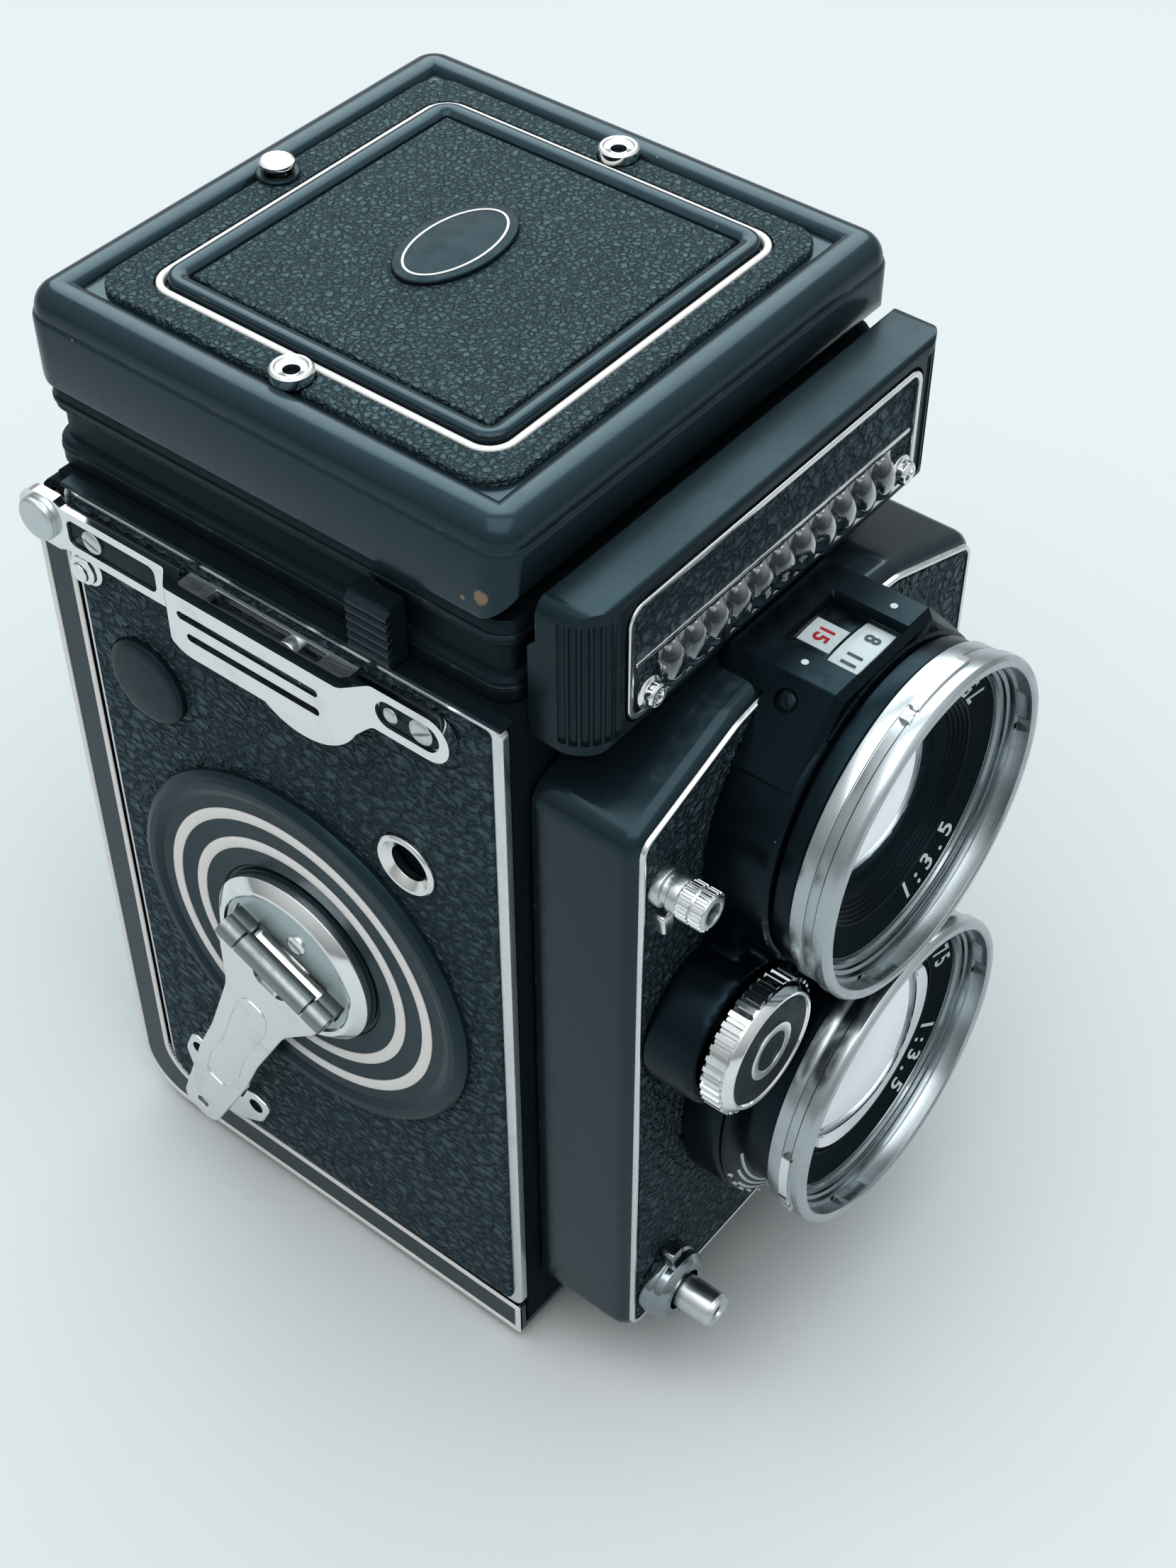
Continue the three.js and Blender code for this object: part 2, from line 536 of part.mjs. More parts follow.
function nameplateHousing() {
  const side = prism("x", filleted([
    [PLATE_FRONT, 113.6, 1], [-36.8, 113.6], [-36.8, 126.5], [-37.9, 127.6],
    [-37.9, PLATE_TOP], [PLATE_FRONT, PLATE_TOP, 1.2],
  ], 3), -40, 40);
  const front = prism("y", rectangle(-33.4, 33.4, 110, PLATE_TOP, 3, 3), -50, -30);
  const plan = prism("z", filleted([
    [-33.4, PLATE_FRONT, 5], [33.4, PLATE_FRONT, 5], [33.4, -30], [-33.4, -30],
  ]), 110, 135);
  const recessOutline = rectangle(-27.6, 27.6, 115, 131.6, 2.6, 3);
  const recess = prism("y", recessOutline, PLATE_FRONT - 1, PLATE_FRONT + 0.8);
  return cut(side.intersect(front).intersect(plan), recess);
}

function nameplatePanel() {
  const plateOutline = rectangle(-27.3, 27.3, 115.3, 131.3, 2.3, 3);
  const sunkOutline = rectangle(-26.2, 26.2, 116.4, 130.2, 1.6, 3);
  const stripOutline = rectangle(-21.4, 21.4, 117.4, 121.6, 0.6, 2);
  const plate = prism("y", plateOutline, PLATE_FRONT - 0.3, PLATE_FRONT + 0.5);
  const sunk = prism("y", sunkOutline, PLATE_FRONT - 1, PLATE_FRONT);
  const studs = [-24, 24].map((x) => rod("y", x, 118.4, 1.7, PLATE_FRONT - 1.8, PLATE_FRONT + 0.2, 16));
  const strip = prism("y", stripOutline, PLATE_FRONT - 0.7, PLATE_FRONT + 0.2);
  return joined(cut(plate, sunk), ...studs, strip);
}
piece("nameplate_housing", "blackPaint", nameplateHousing());
piece("nameplate_panel", "satin", nameplatePanel());

// ---------------------------------------------------------------- front standard
const HUMP = { half: 9.2, top: 115, front: -61.4 };
const SHOULDER_Z = 105.5;

function standardOutline(inset) {
  const half = STANDARD_HALF - inset;
  return filleted([
    [-half, 9.6 + inset, 4], [half, 9.6 + inset, 4], [half, SHOULDER_Z - inset, 3.5],
    [16, 112 - inset, 8], [10, 112.8 - inset], [-10, 112.8 - inset], [-16, 112 - inset, 8],
    [-half, SHOULDER_Z - inset, 3.5],
  ], 3);
}

function lensHousing() {
  return cut(
    joined(
      rod("y", 0, LENS_Z.viewing, 21.7, HUMP.front, STANDARD_FRONT - 0.3, 28),
      rod("y", 0, LENS_Z.taking, 21.7, -57.6, STANDARD_FRONT - 0.3, 28),
      rod("y", -WHEEL.x, WHEEL.z, 9, -57.6, STANDARD_FRONT - 0.3),
      rod("y", WHEEL.x, WHEEL.z, 9, -57.6, STANDARD_FRONT - 0.3),
      prism("y", rectangle(-HUMP.half, HUMP.half, 100, HUMP.top, 0.6, 2), HUMP.front, STANDARD_FRONT - 0.3),
      prism("y", rectangle(-20, 20, LENS_Z.taking, LENS_Z.viewing), -57, STANDARD_FRONT - 0.3),
      prism("y", rectangle(-WHEEL.x, WHEEL.x, WHEEL.z - 9, WHEEL.z + 9), -57, STANDARD_FRONT - 0.3),
    ),
    rod("y", 0, LENS_Z.viewing, 17.6, -70, -50, 24),
    rod("y", 0, LENS_Z.taking, 17.6, -70, -50, 24),
    // the groove of the scale ring and the window over it
    cut(
      rod("y", 0, LENS_Z.viewing, 21, -60, -50, 24),
      rod("y", 0, LENS_Z.viewing, 18.6, -62, -49, 24),
    ),
    box(-4.2, 4.2, -59.6, -53, 110, 117),
    rod("y", -WHEEL.x, WHEEL.z, 1.8, -60, -50, 12),
    rod("y", WHEEL.x, WHEEL.z, 1.8, -60, -50, 12),
  );
}

function standardHousing() {
  return cut(
    prism("y", standardOutline(0), STANDARD_FRONT, STANDARD_REAR),
    prism("y", rectangle(-31.4, 31.4, 12, 104.5, 1, 2), -49.4, -37),
    rod("y", 0, LENS_Z.viewing, 17.6, -55, -45, 24),
    rod("y", 0, LENS_Z.taking, 17.6, -55, -45, 24),
    rod("y", RELEASE.x, RELEASE.z, 2.8, -55, -45, 16),
  );
}

function standardLeather() {
  const around = (u, z, radius, sides) => rod("y", u, z, radius, -54, -50, sides);
  return cut(
    prism("y", standardOutline(1.2), STANDARD_FRONT - 0.45, STANDARD_FRONT - 0.1),
    around(0, LENS_Z.viewing, 22, 28),
    around(0, LENS_Z.taking, 22, 28),
    around(-WHEEL.x, WHEEL.z, 9.4, 14),
    around(WHEEL.x, WHEEL.z, 9.4, 14),
    prism("y", rectangle(-20.3, 20.3, LENS_Z.taking, LENS_Z.viewing), -54, -50),
    prism("y", rectangle(-WHEEL.x, WHEEL.x, WHEEL.z - 9.4, WHEEL.z + 9.4), -54, -50),
    prism("y", rectangle(-HUMP.half - 0.3, HUMP.half + 0.3, 95, 120), -54, -50),
    around(RELEASE.x, RELEASE.z, 5.6, 14),
    around(FLASH.x, FLASH.z, 3.4, 16),
    around(27, RELEASE.z, 3.8, 16),
  );
}

// A lens barrel reaching from behind the standard's front wall to its bayonet seat.
function lensBarrel(z, seatR, seatFrom) {
  return turned("y", 0, z, [
    [14.9, -46], [17.2, -46], [17.2, seatFrom], [seatR, seatFrom], [seatR, -63.8], [18.4, -63.8],
    [15.3, -62.6], [14.9, -61.2],
  ], 28);
}

function bayonet(z) {
  return turned("y", 0, z, [
    [18.8, -64.1], [RIM_R - 0.4, -64.1], [RIM_R, -64.6], [RIM_R, -68.7], [RIM_R - 0.7, RIM_FRONT],
    [19.9, RIM_FRONT], [19.5, -67.6], [18.8, -67.2],
  ], 32);
}

// A lens group: convex in front, nearly flat behind.
function lensGlass(z, radius, front, depth) {
  const profile = [[0, front + depth]];
  profile.push([radius, front + depth]);
  const rings = 3;
  for (let ring = 0; ring < rings; ring += 1) {
    const fraction = 1 - ring / rings;
    profile.push([radius * fraction, front + 2.6 * fraction * fraction]);
  }
  profile.push([0, front]);
  return turned("y", 0, z, profile, 20);
}
piece("standard_housing", "blackPaint", standardHousing());
piece("standard_leather", "leather", standardLeather());
piece("lens_housing", "blackPaint", lensHousing());
piece("viewing_barrel", "blackPaint", lensBarrel(LENS_Z.viewing, 21.7, HUMP.front - 0.3));
piece("viewing_bayonet", "satin", bayonet(LENS_Z.viewing));
piece("viewing_glass", "glass", lensGlass(LENS_Z.viewing, 14.6, -61.6, 9));
piece("taking_barrel", "blackPaint", lensBarrel(LENS_Z.taking, 20.4, -57.9));
piece("taking_bayonet", "satin", bayonet(LENS_Z.taking));
piece("taking_glass", "glass", lensGlass(LENS_Z.taking, 14.6, -60.6, 7));
piece("iris_ring", "blackPaint", turned("y", 0, LENS_Z.taking, [
  [7, -51.2], [14.5, -51.2], [14.5, -50.4], [7, -50.4],
], 16));
piece("exposure_scale_ring", "satin", turned("y", 0, LENS_Z.viewing, [
  [19, -59.6], [20.6, -59.6], [20.6, -52.4], [19, -52.4],
], 24));

function exposureWheel(side) {
  return joined(
    prism("y", toothed(side * WHEEL.x, WHEEL.z, WHEEL.r, 0.5, 20), -63.4, -58),
    rod("y", side * WHEEL.x, WHEEL.z, 8, -64, -63.3, 24),
    rod("y", side * WHEEL.x, WHEEL.z, 1.5, -58.1, -52.6, 12),
  );
}
piece("aperture_wheel", "chrome", exposureWheel(-1));
piece("speed_wheel", "chrome", exposureWheel(1));

// Flash socket, shutter release with its guard collar, and the self-timer lever.
piece("flash_socket", "satin", turned("y", FLASH.x, FLASH.z, [
  [1.2, -51.8], [3, -51.8], [3, -59], [2.5, -59.4], [1.2, -59.4],
], 14));
piece("release_collar", "satin", joined(
  turned("y", RELEASE.x, RELEASE.z, [
    [3, -51.8], [5.2, -51.8], [5.2, -54.6], [4.4, -55.8], [3, -55.8],
  ], 16),
  box(RELEASE.x - 1, RELEASE.x + 1, -54.6, -52.4, RELEASE.z + 4.8, RELEASE.z + 7.5),
));
piece("release_button", "satin", turned("y", RELEASE.x, RELEASE.z, [
  [0, -47.6], [2.4, -47.6], [2.4, -60.9], [2, -61.4], [1, -61.4], [0.8, -59], [0, -59],
], 14));
piece("self_timer_lever", "satin", joined(
  turned("y", 27, RELEASE.z, [[0, -51.8], [3.4, -51.8], [3.4, -54], [2.6, -54.8], [0, -54.8]], 20),
  box(26, 28, -53.8, -52.4, RELEASE.z + 3, RELEASE.z + 7.5),
));

// ---------------------------------------------------------------- origin
const footprint = new THREE.Box3().setFromObject(camera);
const middle = footprint.getCenter(new THREE.Vector3());
camera.position.set(-middle.x, -middle.y, -footprint.min.z);

export default camera;
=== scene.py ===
"""The looks of a twin lens reflex camera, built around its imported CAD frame.

Pieces are drawn in design coordinates: millimetres, with x = 0 on the lens axes, z = 0 on the lower
edge of the body, the lenses looking along -Y and the winding crank on the -X side.
"""

import math

import bmesh
import bpy
from mathutils import Matrix, Vector


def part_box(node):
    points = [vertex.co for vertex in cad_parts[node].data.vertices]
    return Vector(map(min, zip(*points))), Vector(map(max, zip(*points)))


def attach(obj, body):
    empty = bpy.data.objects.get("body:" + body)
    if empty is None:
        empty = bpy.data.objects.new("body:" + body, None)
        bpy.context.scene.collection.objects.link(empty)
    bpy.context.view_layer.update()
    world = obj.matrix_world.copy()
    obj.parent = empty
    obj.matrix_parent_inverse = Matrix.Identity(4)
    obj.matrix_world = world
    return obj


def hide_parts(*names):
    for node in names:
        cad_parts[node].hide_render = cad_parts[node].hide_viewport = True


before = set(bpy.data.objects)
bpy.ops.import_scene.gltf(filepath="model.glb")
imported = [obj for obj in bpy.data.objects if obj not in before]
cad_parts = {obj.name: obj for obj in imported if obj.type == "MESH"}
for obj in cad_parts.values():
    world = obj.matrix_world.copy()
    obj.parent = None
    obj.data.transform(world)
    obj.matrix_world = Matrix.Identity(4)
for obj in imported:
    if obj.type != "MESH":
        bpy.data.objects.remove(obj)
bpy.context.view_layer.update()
MM = 0.001

# ---------------------------------------------------------------- places taken from the frame
LENS_HEIGHT = 47.2  # taking lens axis above the body's lower edge
CRANK_BACK = -2.2  # crank axis along y from the design origin
AXIS_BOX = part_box("taking_glass")
DISH_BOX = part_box("crank_dish")
ORIGIN = Vector((
    (AXIS_BOX[0].x + AXIS_BOX[1].x) / 2,
    (DISH_BOX[0].y + DISH_BOX[1].y) / 2 - CRANK_BACK * MM,
    (AXIS_BOX[0].z + AXIS_BOX[1].z) / 2 - LENS_HEIGHT * MM,
))


def extent(node):
    """The lowest and highest corner of a CAD node in design coordinates."""
    low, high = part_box(node)
    return (low - ORIGIN) / MM, (high - ORIGIN) / MM


LID_LOW, LID_HIGH = extent("hood_lid")
LID_TOP = LID_HIGH.z
LID_FRONT = LID_LOW.y
LID_REAR = LID_HIGH.y
LID_HALF = LID_HIGH.x
LID_BOTTOM = LID_LOW.z
LID_CURVE = 5.8  # radius of the lid's rounded lower front edge
PANEL_FACE = 37.4
LEATHER_FACE = 37.9
BODY_FRONT = -36.5
BODY_TOP = 117.0
VIEWING_Z = 92.2
TAKING_Z = LENS_HEIGHT
STANDARD_FRONT = -51.6
STANDARD_REAR = -37.2
STANDARD_HALF = 33.8
DOOR_REAR = 36.7
CRANK = {"y": CRANK_BACK, "z": 58.0, "angle": math.radians(24.5), "pivot": -43.6, "reach": 46.3}
COUNTER = {"y": -21.6, "z": 86.8}
CAP = {"y": 19.8, "z": 92.0}
BACK_HINGE = {"y": 33.6, "z": 112.2}
TAKE_UP = {"y": 19.5, "z": 91.0}
FEED = {"y": -18.5, "z": 15.4}
FOCUS = {"y": -8.0, "z": 58.0, "face": 54.0}
WHEEL = {"x": 22.4, "z": 69.7, "r": 9.2}
RELEASE = {"x": -26.5, "z": 16.5}
TIMER_X = 27.0
FLASH = {"x": -29.4, "z": 97.0}

# ---------------------------------------------------------------- outlines


def filleted(corners, steps=8):
    """A closed outline from (u, v, radius) corners; every corner with a radius becomes an arc."""
    points = []
    count = len(corners)
    for i, (u, v, radius) in enumerate(corners):
        corner = Vector((u, v))
        if radius <= 0:
            points.append(corner)
            continue
        back = (Vector(corners[i - 1][:2]) - corner).normalized()
        ahead = (Vector(corners[(i + 1) % count][:2]) - corner).normalized()
        half = math.acos(max(-1.0, min(1.0, back.dot(ahead)))) / 2
        middle = (back + ahead).normalized()
        centre = corner + middle * (radius / math.sin(half))
        first = corner + back * (radius / math.tan(half)) - centre
        turn = math.copysign(math.pi - 2 * half, back.y * ahead.x - back.x * ahead.y)
        for step in range(steps + 1):
            points.append(Matrix.Rotation(turn * step / steps, 2) @ first + centre)
    return points


def inset(corners, distance):
    """The corners of an outline moved inwards; arcs at outer corners shrink, at inner corners grow."""
    area = sum(corners[i - 1][0] * c[1] - c[0] * corners[i - 1][1] for i, c in enumerate(corners))
    wind = math.copysign(1.0, area)
    moved = []
    count = len(corners)
    for i, (u, v, radius) in enumerate(corners):
        corner = Vector((u, v))
        before = (corner - Vector(corners[i - 1][:2])).normalized()
        after = (Vector(corners[(i + 1) % count][:2]) - corner).normalized()
        inward = [Vector((-d.y, d.x)) * wind for d in (before, after)]
        bisector = (inward[0] + inward[1]).normalized()
        reach = distance / max(0.2, bisector.dot(inward[0]))
        bends_in = (before.x * after.y - before.y * after.x) * wind > 0
        new_radius = radius - distance if bends_in else radius + distance
        place = corner + bisector * reach
        moved.append((place.x, place.y, max(0.05, new_radius) if radius > 0 else 0))
    return moved


def rectangle(u_low, u_high, v_low, v_high, radius=0.0):
    return [(u_low, v_low, radius), (u_high, v_low, radius), (u_high, v_high, radius), (u_low, v_high, radius)]


def circle(u, v, radius, sides=72):
    turns = [2 * math.pi * i / sides for i in range(sides)]
    return [Vector((u + radius * math.cos(t), v + radius * math.sin(t))) for t in turns]


def toothed(u, v, radius, depth, teeth, crest=0.5):
    """A circle cut into straight teeth; crest is the share of the pitch that stays at full radius."""
    points = []
    for tooth in range(teeth):
        for share, r in ((0.0, radius), (crest, radius), (crest + 0.14, radius - depth), (0.86, radius - depth)):
            t = 2 * math.pi * (tooth + share) / teeth
            points.append(Vector((u + r * math.cos(t), v + r * math.sin(t))))
    return points


# ---------------------------------------------------------------- solids


def spot(axis, u, v, w):
    """A point from outline coordinates (u, v) and the distance w along the axis."""
    return {"x": (w, u, v), "y": (u, w, v), "z": (u, v, w)}[axis]


def solid(mesh):
    """A temporary object in design coordinates from a bmesh."""
    bmesh.ops.recalc_face_normals(mesh, faces=mesh.faces)
    data = bpy.data.meshes.new("solid")
    mesh.to_mesh(data)
    mesh.free()
    made = bpy.data.objects.new("solid", data)
    bpy.context.scene.collection.objects.link(made)
    return made


def skin(rings, closed=False):
    """Joins rings of points with quads; the ends are capped, or joined to each other when closed."""
    mesh = bmesh.new()
    layers = [[mesh.verts.new(point) for point in ring] for ring in rings]
    pairs = list(zip(layers, layers[1:]))
    if closed:
        pairs.append((layers[-1], layers[0]))
    else:
        mesh.faces.new(layers[0])
        mesh.faces.new(layers[-1])
    for low, high in pairs:
        for i in range(len(low)):
            j = (i + 1) % len(low)
            mesh.faces.new((low[i], low[j], high[j], high[i]))
    return solid(mesh)


def prism(axis, outline, low, high):
    return skin([[spot(axis, u, v, w) for u, v in outline] for w in (low, high)])


def rod(axis, u, v, radius, low, high, sides=72):
    return prism(axis, circle(u, v, radius, sides), low, high)


def block(x, y, z):
    return prism("z", filleted(rectangle(*x, *y)), *z)


def rounding(edge, steps=4):
    """(inset, drop) pairs of a rounded edge, from the side wall to the face."""
    turns = [math.pi / 2 * i / steps for i in range(steps + 1)]
    return [(edge * (1 - math.cos(t)), edge * (1 - math.sin(t))) for t in turns]


def pad(axis, corners, base, face, edge, steps=8):
    """A slab on an outline, from its base to its face, with a rounded edge at the face."""
    out = math.copysign(1.0, face - base)
    rings = [[spot(axis, u, v, base) for u, v in filleted(corners, steps)]]
    for shift, drop in rounding(edge):
        outline = filleted(inset(corners, shift), steps)
        rings.append([spot(axis, u, v, face - out * drop) for u, v in outline])
    return skin(rings)


def band(axis, corners, width, base, face, edge, steps=8):
    """A raised line that follows an outline, width wide inwards, with both its edges rounded."""
    out = math.copysign(1.0, face - base)
    shifts = [(0.0, base)] + [(s, face - out * d) for s, d in rounding(edge)]
    shifts += [(width - s, face - out * d) for s, d in reversed(rounding(edge))] + [(width, base)]
    rings = []
    for shift, w in shifts:
        rings.append([spot(axis, u, v, w) for u, v in filleted(inset(corners, shift), steps)])
    return skin(rings, closed=True)


def turned(axis, u, v, profile, sides=96):
    """A body of revolution from (radius, distance along the axis) points."""
    mesh = bmesh.new()
    rings = []
    for radius, w in profile:
        if radius <= 0:
            rings.append([mesh.verts.new(spot(axis, u, v, w))])
        else:
            rings.append([mesh.verts.new(spot(axis, p.x, p.y, w)) for p in circle(u, v, radius, sides)])
    for i, ring in enumerate(rings):
        following = rings[(i + 1) % len(rings)]
        if len(ring) == 1 and len(following) == 1:
            continue
        for k in range(sides):
            n = (k + 1) % sides
            corners = [ring[k % len(ring)], ring[n % len(ring)], following[n % len(following)]]
            corners.append(following[k % len(following)])
            unique = list(dict.fromkeys(corners))
            mesh.faces.new(unique)
    return solid(mesh)


def eased(profile, radius, steps=3):
    """A turned profile with every corner off the axis rounded."""
    corners = [(r, w, radius if r > 0 else 0) for r, w in profile]
    return [tuple(p) for p in filleted(corners, steps)]


def freeze(item):
    """Replaces an object's mesh with the result of its modifiers."""
    graph = bpy.context.evaluated_depsgraph_get()
    data = bpy.data.meshes.new_from_object(item.evaluated_get(graph))
    item.modifiers.clear()
    item.data = data
    return item


def combine(target, tools, operation):
    for tool in tools:
        step = target.modifiers.new("step", "BOOLEAN")
        step.operation = operation
        step.solver = "EXACT"
        step.object = tool
        freeze(target)
        bpy.data.objects.remove(tool)
    return target


def cut(target, *tools):
    return combine(target, tools, "DIFFERENCE")


def joined(target, *tools):
    return combine(target, tools, "UNION")


def within(target, *tools):
    return combine(target, tools, "INTERSECT")


def together(*items):
    """Several separate solids as one object."""
    mesh = bmesh.new()
    for item in items:
        mesh.from_mesh(item.data)
        bpy.data.objects.remove(item)
    return solid(mesh)


def moved(item, matrix):
    item.data.transform(matrix)
    if matrix.determinant() < 0:
        item.data.flip_normals()
    return item


def mirrored(item):
    return moved(item, Matrix.Scale(-1, 4, (1, 0, 0)))


def soften(item, voxel, passes):
    """Melts the edges of a joined casting into smooth fillets."""
    remesh = item.modifiers.new("remesh", "REMESH")
    remesh.mode = "VOXEL"
    remesh.voxel_size = voxel
    smooth = item.modifiers.new("smooth", "SMOOTH")
    smooth.iterations = passes
    return freeze(item)


# ---------------------------------------------------------------- materials
SHEEN = (0.45, 0.83, 1.0, 1)  # the cool tint of reflections in black surfaces


def node(tree, kind, inputs, **attributes):
    made = tree.nodes.new("ShaderNode" + kind)
    for key, value in attributes.items():
        setattr(made, key, value)
    for key, value in inputs.items():
        if isinstance(value, bpy.types.NodeSocket):
            tree.links.new(value, made.inputs[key])
        else:
            made.inputs[key].default_value = value
    return made


def principled(name, colour, roughness, metallic=0.0, **extra):
    """A new material; returns it with its node tree and its shader."""
    material = bpy.data.materials.new(name)
    material.use_nodes = True
    tree = material.node_tree
    shader = tree.nodes["Principled BSDF"]
    shader.inputs["Base Color"].default_value = (*colour, 1)
    shader.inputs["Roughness"].default_value = roughness
    shader.inputs["Metallic"].default_value = metallic
    if metallic == 0:
        shader.inputs["Specular Tint"].default_value = SHEEN
    for key, value in extra.items():
        shader.inputs[key.replace("_", " ")].default_value = value
    return material, tree, shader


def place_of(tree):
    """Object coordinates, which are metres in the row frame."""
    return node(tree, "TexCoord", {}).outputs["Object"]


def noise(tree, vector, size, detail=3.0, rough=0.5):
    """Noise whose features are about size millimetres."""
    inputs = {"Vector": vector, "Scale": 1 / (size * MM), "Detail": detail, "Roughness": rough}
    return node(tree, "TexNoise", inputs).outputs["Fac"]


def ramp(tree, value, low, high, start, end):
    inputs = {"Value": value, "From Min": low, "From Max": high, "To Min": start, "To Max": end}
    return node(tree, "MapRange", inputs).outputs["Result"]


def blended(tree, share, first, second):
    """A mix of two colours."""
    made = node(tree, "Mix", {}, data_type="RGBA")
    for index, value in ((0, share), (6, first), (7, second)):
        if isinstance(value, bpy.types.NodeSocket):
            tree.links.new(value, made.inputs[index])
        else:
            made.inputs[index].default_value = value if index == 0 else (*value, 1)
    return made.outputs[2]


def calc(tree, operation, first, second=0.0):
    return node(tree, "Math", {0: first, 1: second}, operation=operation).outputs[0]


def bump(tree, shader, height, strength, distance=0.1):
    """Bump whose full height is distance millimetres."""
    inputs = {"Height": height, "Strength": strength, "Distance": distance * MM}
    tree.links.new(node(tree, "Bump", inputs).outputs[0], shader.inputs["Normal"])


def painted(name, colour, roughness, peel, coat, wear=0.0, specks=True, chips=()):
    """Enamel on metal: uneven gloss, faint orange peel, dust specks, worn edges and chips down to the brass."""
    material, tree, shader = principled(name, colour, roughness)
    shader.inputs["Coat Weight"].default_value = coat
    shader.inputs["Coat Roughness"].default_value = 0.12
    place = place_of(tree)
    cloud = noise(tree, place, 14, 4)
    gloss = ramp(tree, cloud, 0.3, 0.7, roughness * 0.8, roughness * 1.25)
    scuff = ramp(tree, noise(tree, place, 2.5, 6, 0.7), 0.55, 0.75, 0.0, 0.12)
    tree.links.new(calc(tree, "ADD", gloss, scuff), shader.inputs["Roughness"])
    shade = blended(tree, cloud, [c * 0.85 for c in colour], [c * 1.15 for c in colour])
    if specks:
        dots = node(tree, "TexVoronoi", {"Vector": place, "Scale": 1 / (5.5 * MM), "Randomness": 1.0})
        near = ramp(tree, dots.outputs["Distance"], 0.014, 0.024, 1.0, 0.0)
        chosen = ramp(tree, noise(tree, place, 9, 2), 0.58, 0.6, 0.0, 0.7)
        shade = blended(tree, calc(tree, "MULTIPLY", near, chosen), shade, (0.40, 0.46, 0.48))
    if wear > 0:
        rounded = node(tree, "Bevel", {"Radius": 0.35 * MM}, samples=4).outputs[0]
        flat = node(tree, "NewGeometry", {}).outputs["Normal"]
        facing = node(tree, "VectorMath", {0: rounded, 1: flat}, operation="DOT_PRODUCT").outputs["Value"]
        edge = ramp(tree, facing, 0.93, 0.985, 1.0, 0.0)
        patchy = ramp(tree, noise(tree, place, 3.5, 5, 0.65), 0.56, 0.66, 0.0, wear)
        shade = blended(tree, calc(tree, "MULTIPLY", edge, patchy), shade, (0.30, 0.25, 0.18))
    for x, y, z, radius in chips:
        centre = Vector((x, y, z)) * MM + ORIGIN
        reach = node(tree, "VectorMath", {0: place, 1: centre}, operation="DISTANCE").outputs["Value"]
        ragged = calc(tree, "ADD", reach, calc(tree, "MULTIPLY", noise(tree, place, 1.1, 4, 0.7), radius * MM * 1.6))
        inside = ramp(tree, ragged, radius * MM * 1.55, radius * MM * 1.75, 1.0, 0.0)
        shade = blended(tree, inside, shade, (0.25, 0.17, 0.10))
    tree.links.new(shade, shader.inputs["Base Color"])
    bump(tree, shader, noise(tree, place, 1.6, 2), peel, 0.02)
    return material


def leather(name, grain, stretch, depth, colour, gloss, crease_shade):
    """Grained leather: flattened pebbles that lean on each other, sharp creases between them and slow unevenness;
    painted shade darkens the creases and painted highlights pale the crests.
    """
    material, tree, shader = principled(name, colour, 0.5)
    shader.inputs["Specular IOR Level"].default_value = gloss
    place = node(tree, "Mapping", {"Vector": place_of(tree), "Scale": stretch}).outputs[0]
    drift = node(tree, "TexNoise", {"Vector": place, "Scale": 1 / (grain * 0.9 * MM), "Detail": 2.0})
    shift = node(tree, "VectorMath", {0: drift.outputs["Color"], 1: (0.5, 0.5, 0.5)}, operation="SUBTRACT")
    scaled = node(tree, "VectorMath", {0: shift.outputs[0], "Scale": grain * 1.1 * MM}, operation="SCALE")
    bent = node(tree, "VectorMath", {0: place, 1: scaled.outputs[0]}, operation="ADD").outputs[0]
    swells = []
    for size, weight in ((grain, 1.0), (grain * 0.5, 0.35)):
        inputs = {"Vector": bent, "Scale": 1 / (size * MM), "Randomness": 1.0}
        edge = node(tree, "TexVoronoi", inputs, feature="DISTANCE_TO_EDGE").outputs["Distance"]
        swells.append(node(tree, "MapRange", {
            "Value": edge, "From Min": 0.0, "From Max": 0.3, "To Min": 0.0, "To Max": weight,
        }, interpolation_type="SMOOTHSTEP").outputs["Result"])
    grainy = ramp(tree, noise(tree, bent, grain * 0.22, 2, 0.5), 0.3, 0.7, 0.0, 0.12)
    slow = ramp(tree, noise(tree, place, grain * 2.2, 2), 0.3, 0.7, 0.0, 0.9)
    pebbles = calc(tree, "ADD", *swells)
    height = calc(tree, "ADD", pebbles, calc(tree, "ADD", grainy, slow))
    # painted shade darkens the creases between the pebbles, and painted highlights pale their crests
    crest = ramp(tree, pebbles, 0.1, 0.9, 0.0, 1.0)
    shade = blended(tree, crest, [c * crease_shade for c in colour], [c * 1.8 for c in colour])
    # the crests in pale patches go palest: partly rubbed wear, partly painted highlight
    rubbed_and_highlit = ramp(tree, noise(tree, place, grain * 1.4, 3), 0.45, 0.7, 0.0, 1.0)
    shade = blended(tree, calc(tree, "MULTIPLY", rubbed_and_highlit, crest), shade, [c * 2.3 for c in colour])
    tint = ramp(tree, noise(tree, place, 11, 4), 0.3, 0.7, 0.0, 0.25)
    tree.links.new(blended(tree, tint, shade, [c * 1.1 for c in colour]), shader.inputs["Base Color"])
    tree.links.new(ramp(tree, pebbles, 0.1, 1.2, 0.62, 0.36), shader.inputs["Roughness"])
    bump(tree, shader, height, 1.0, depth)
    return material


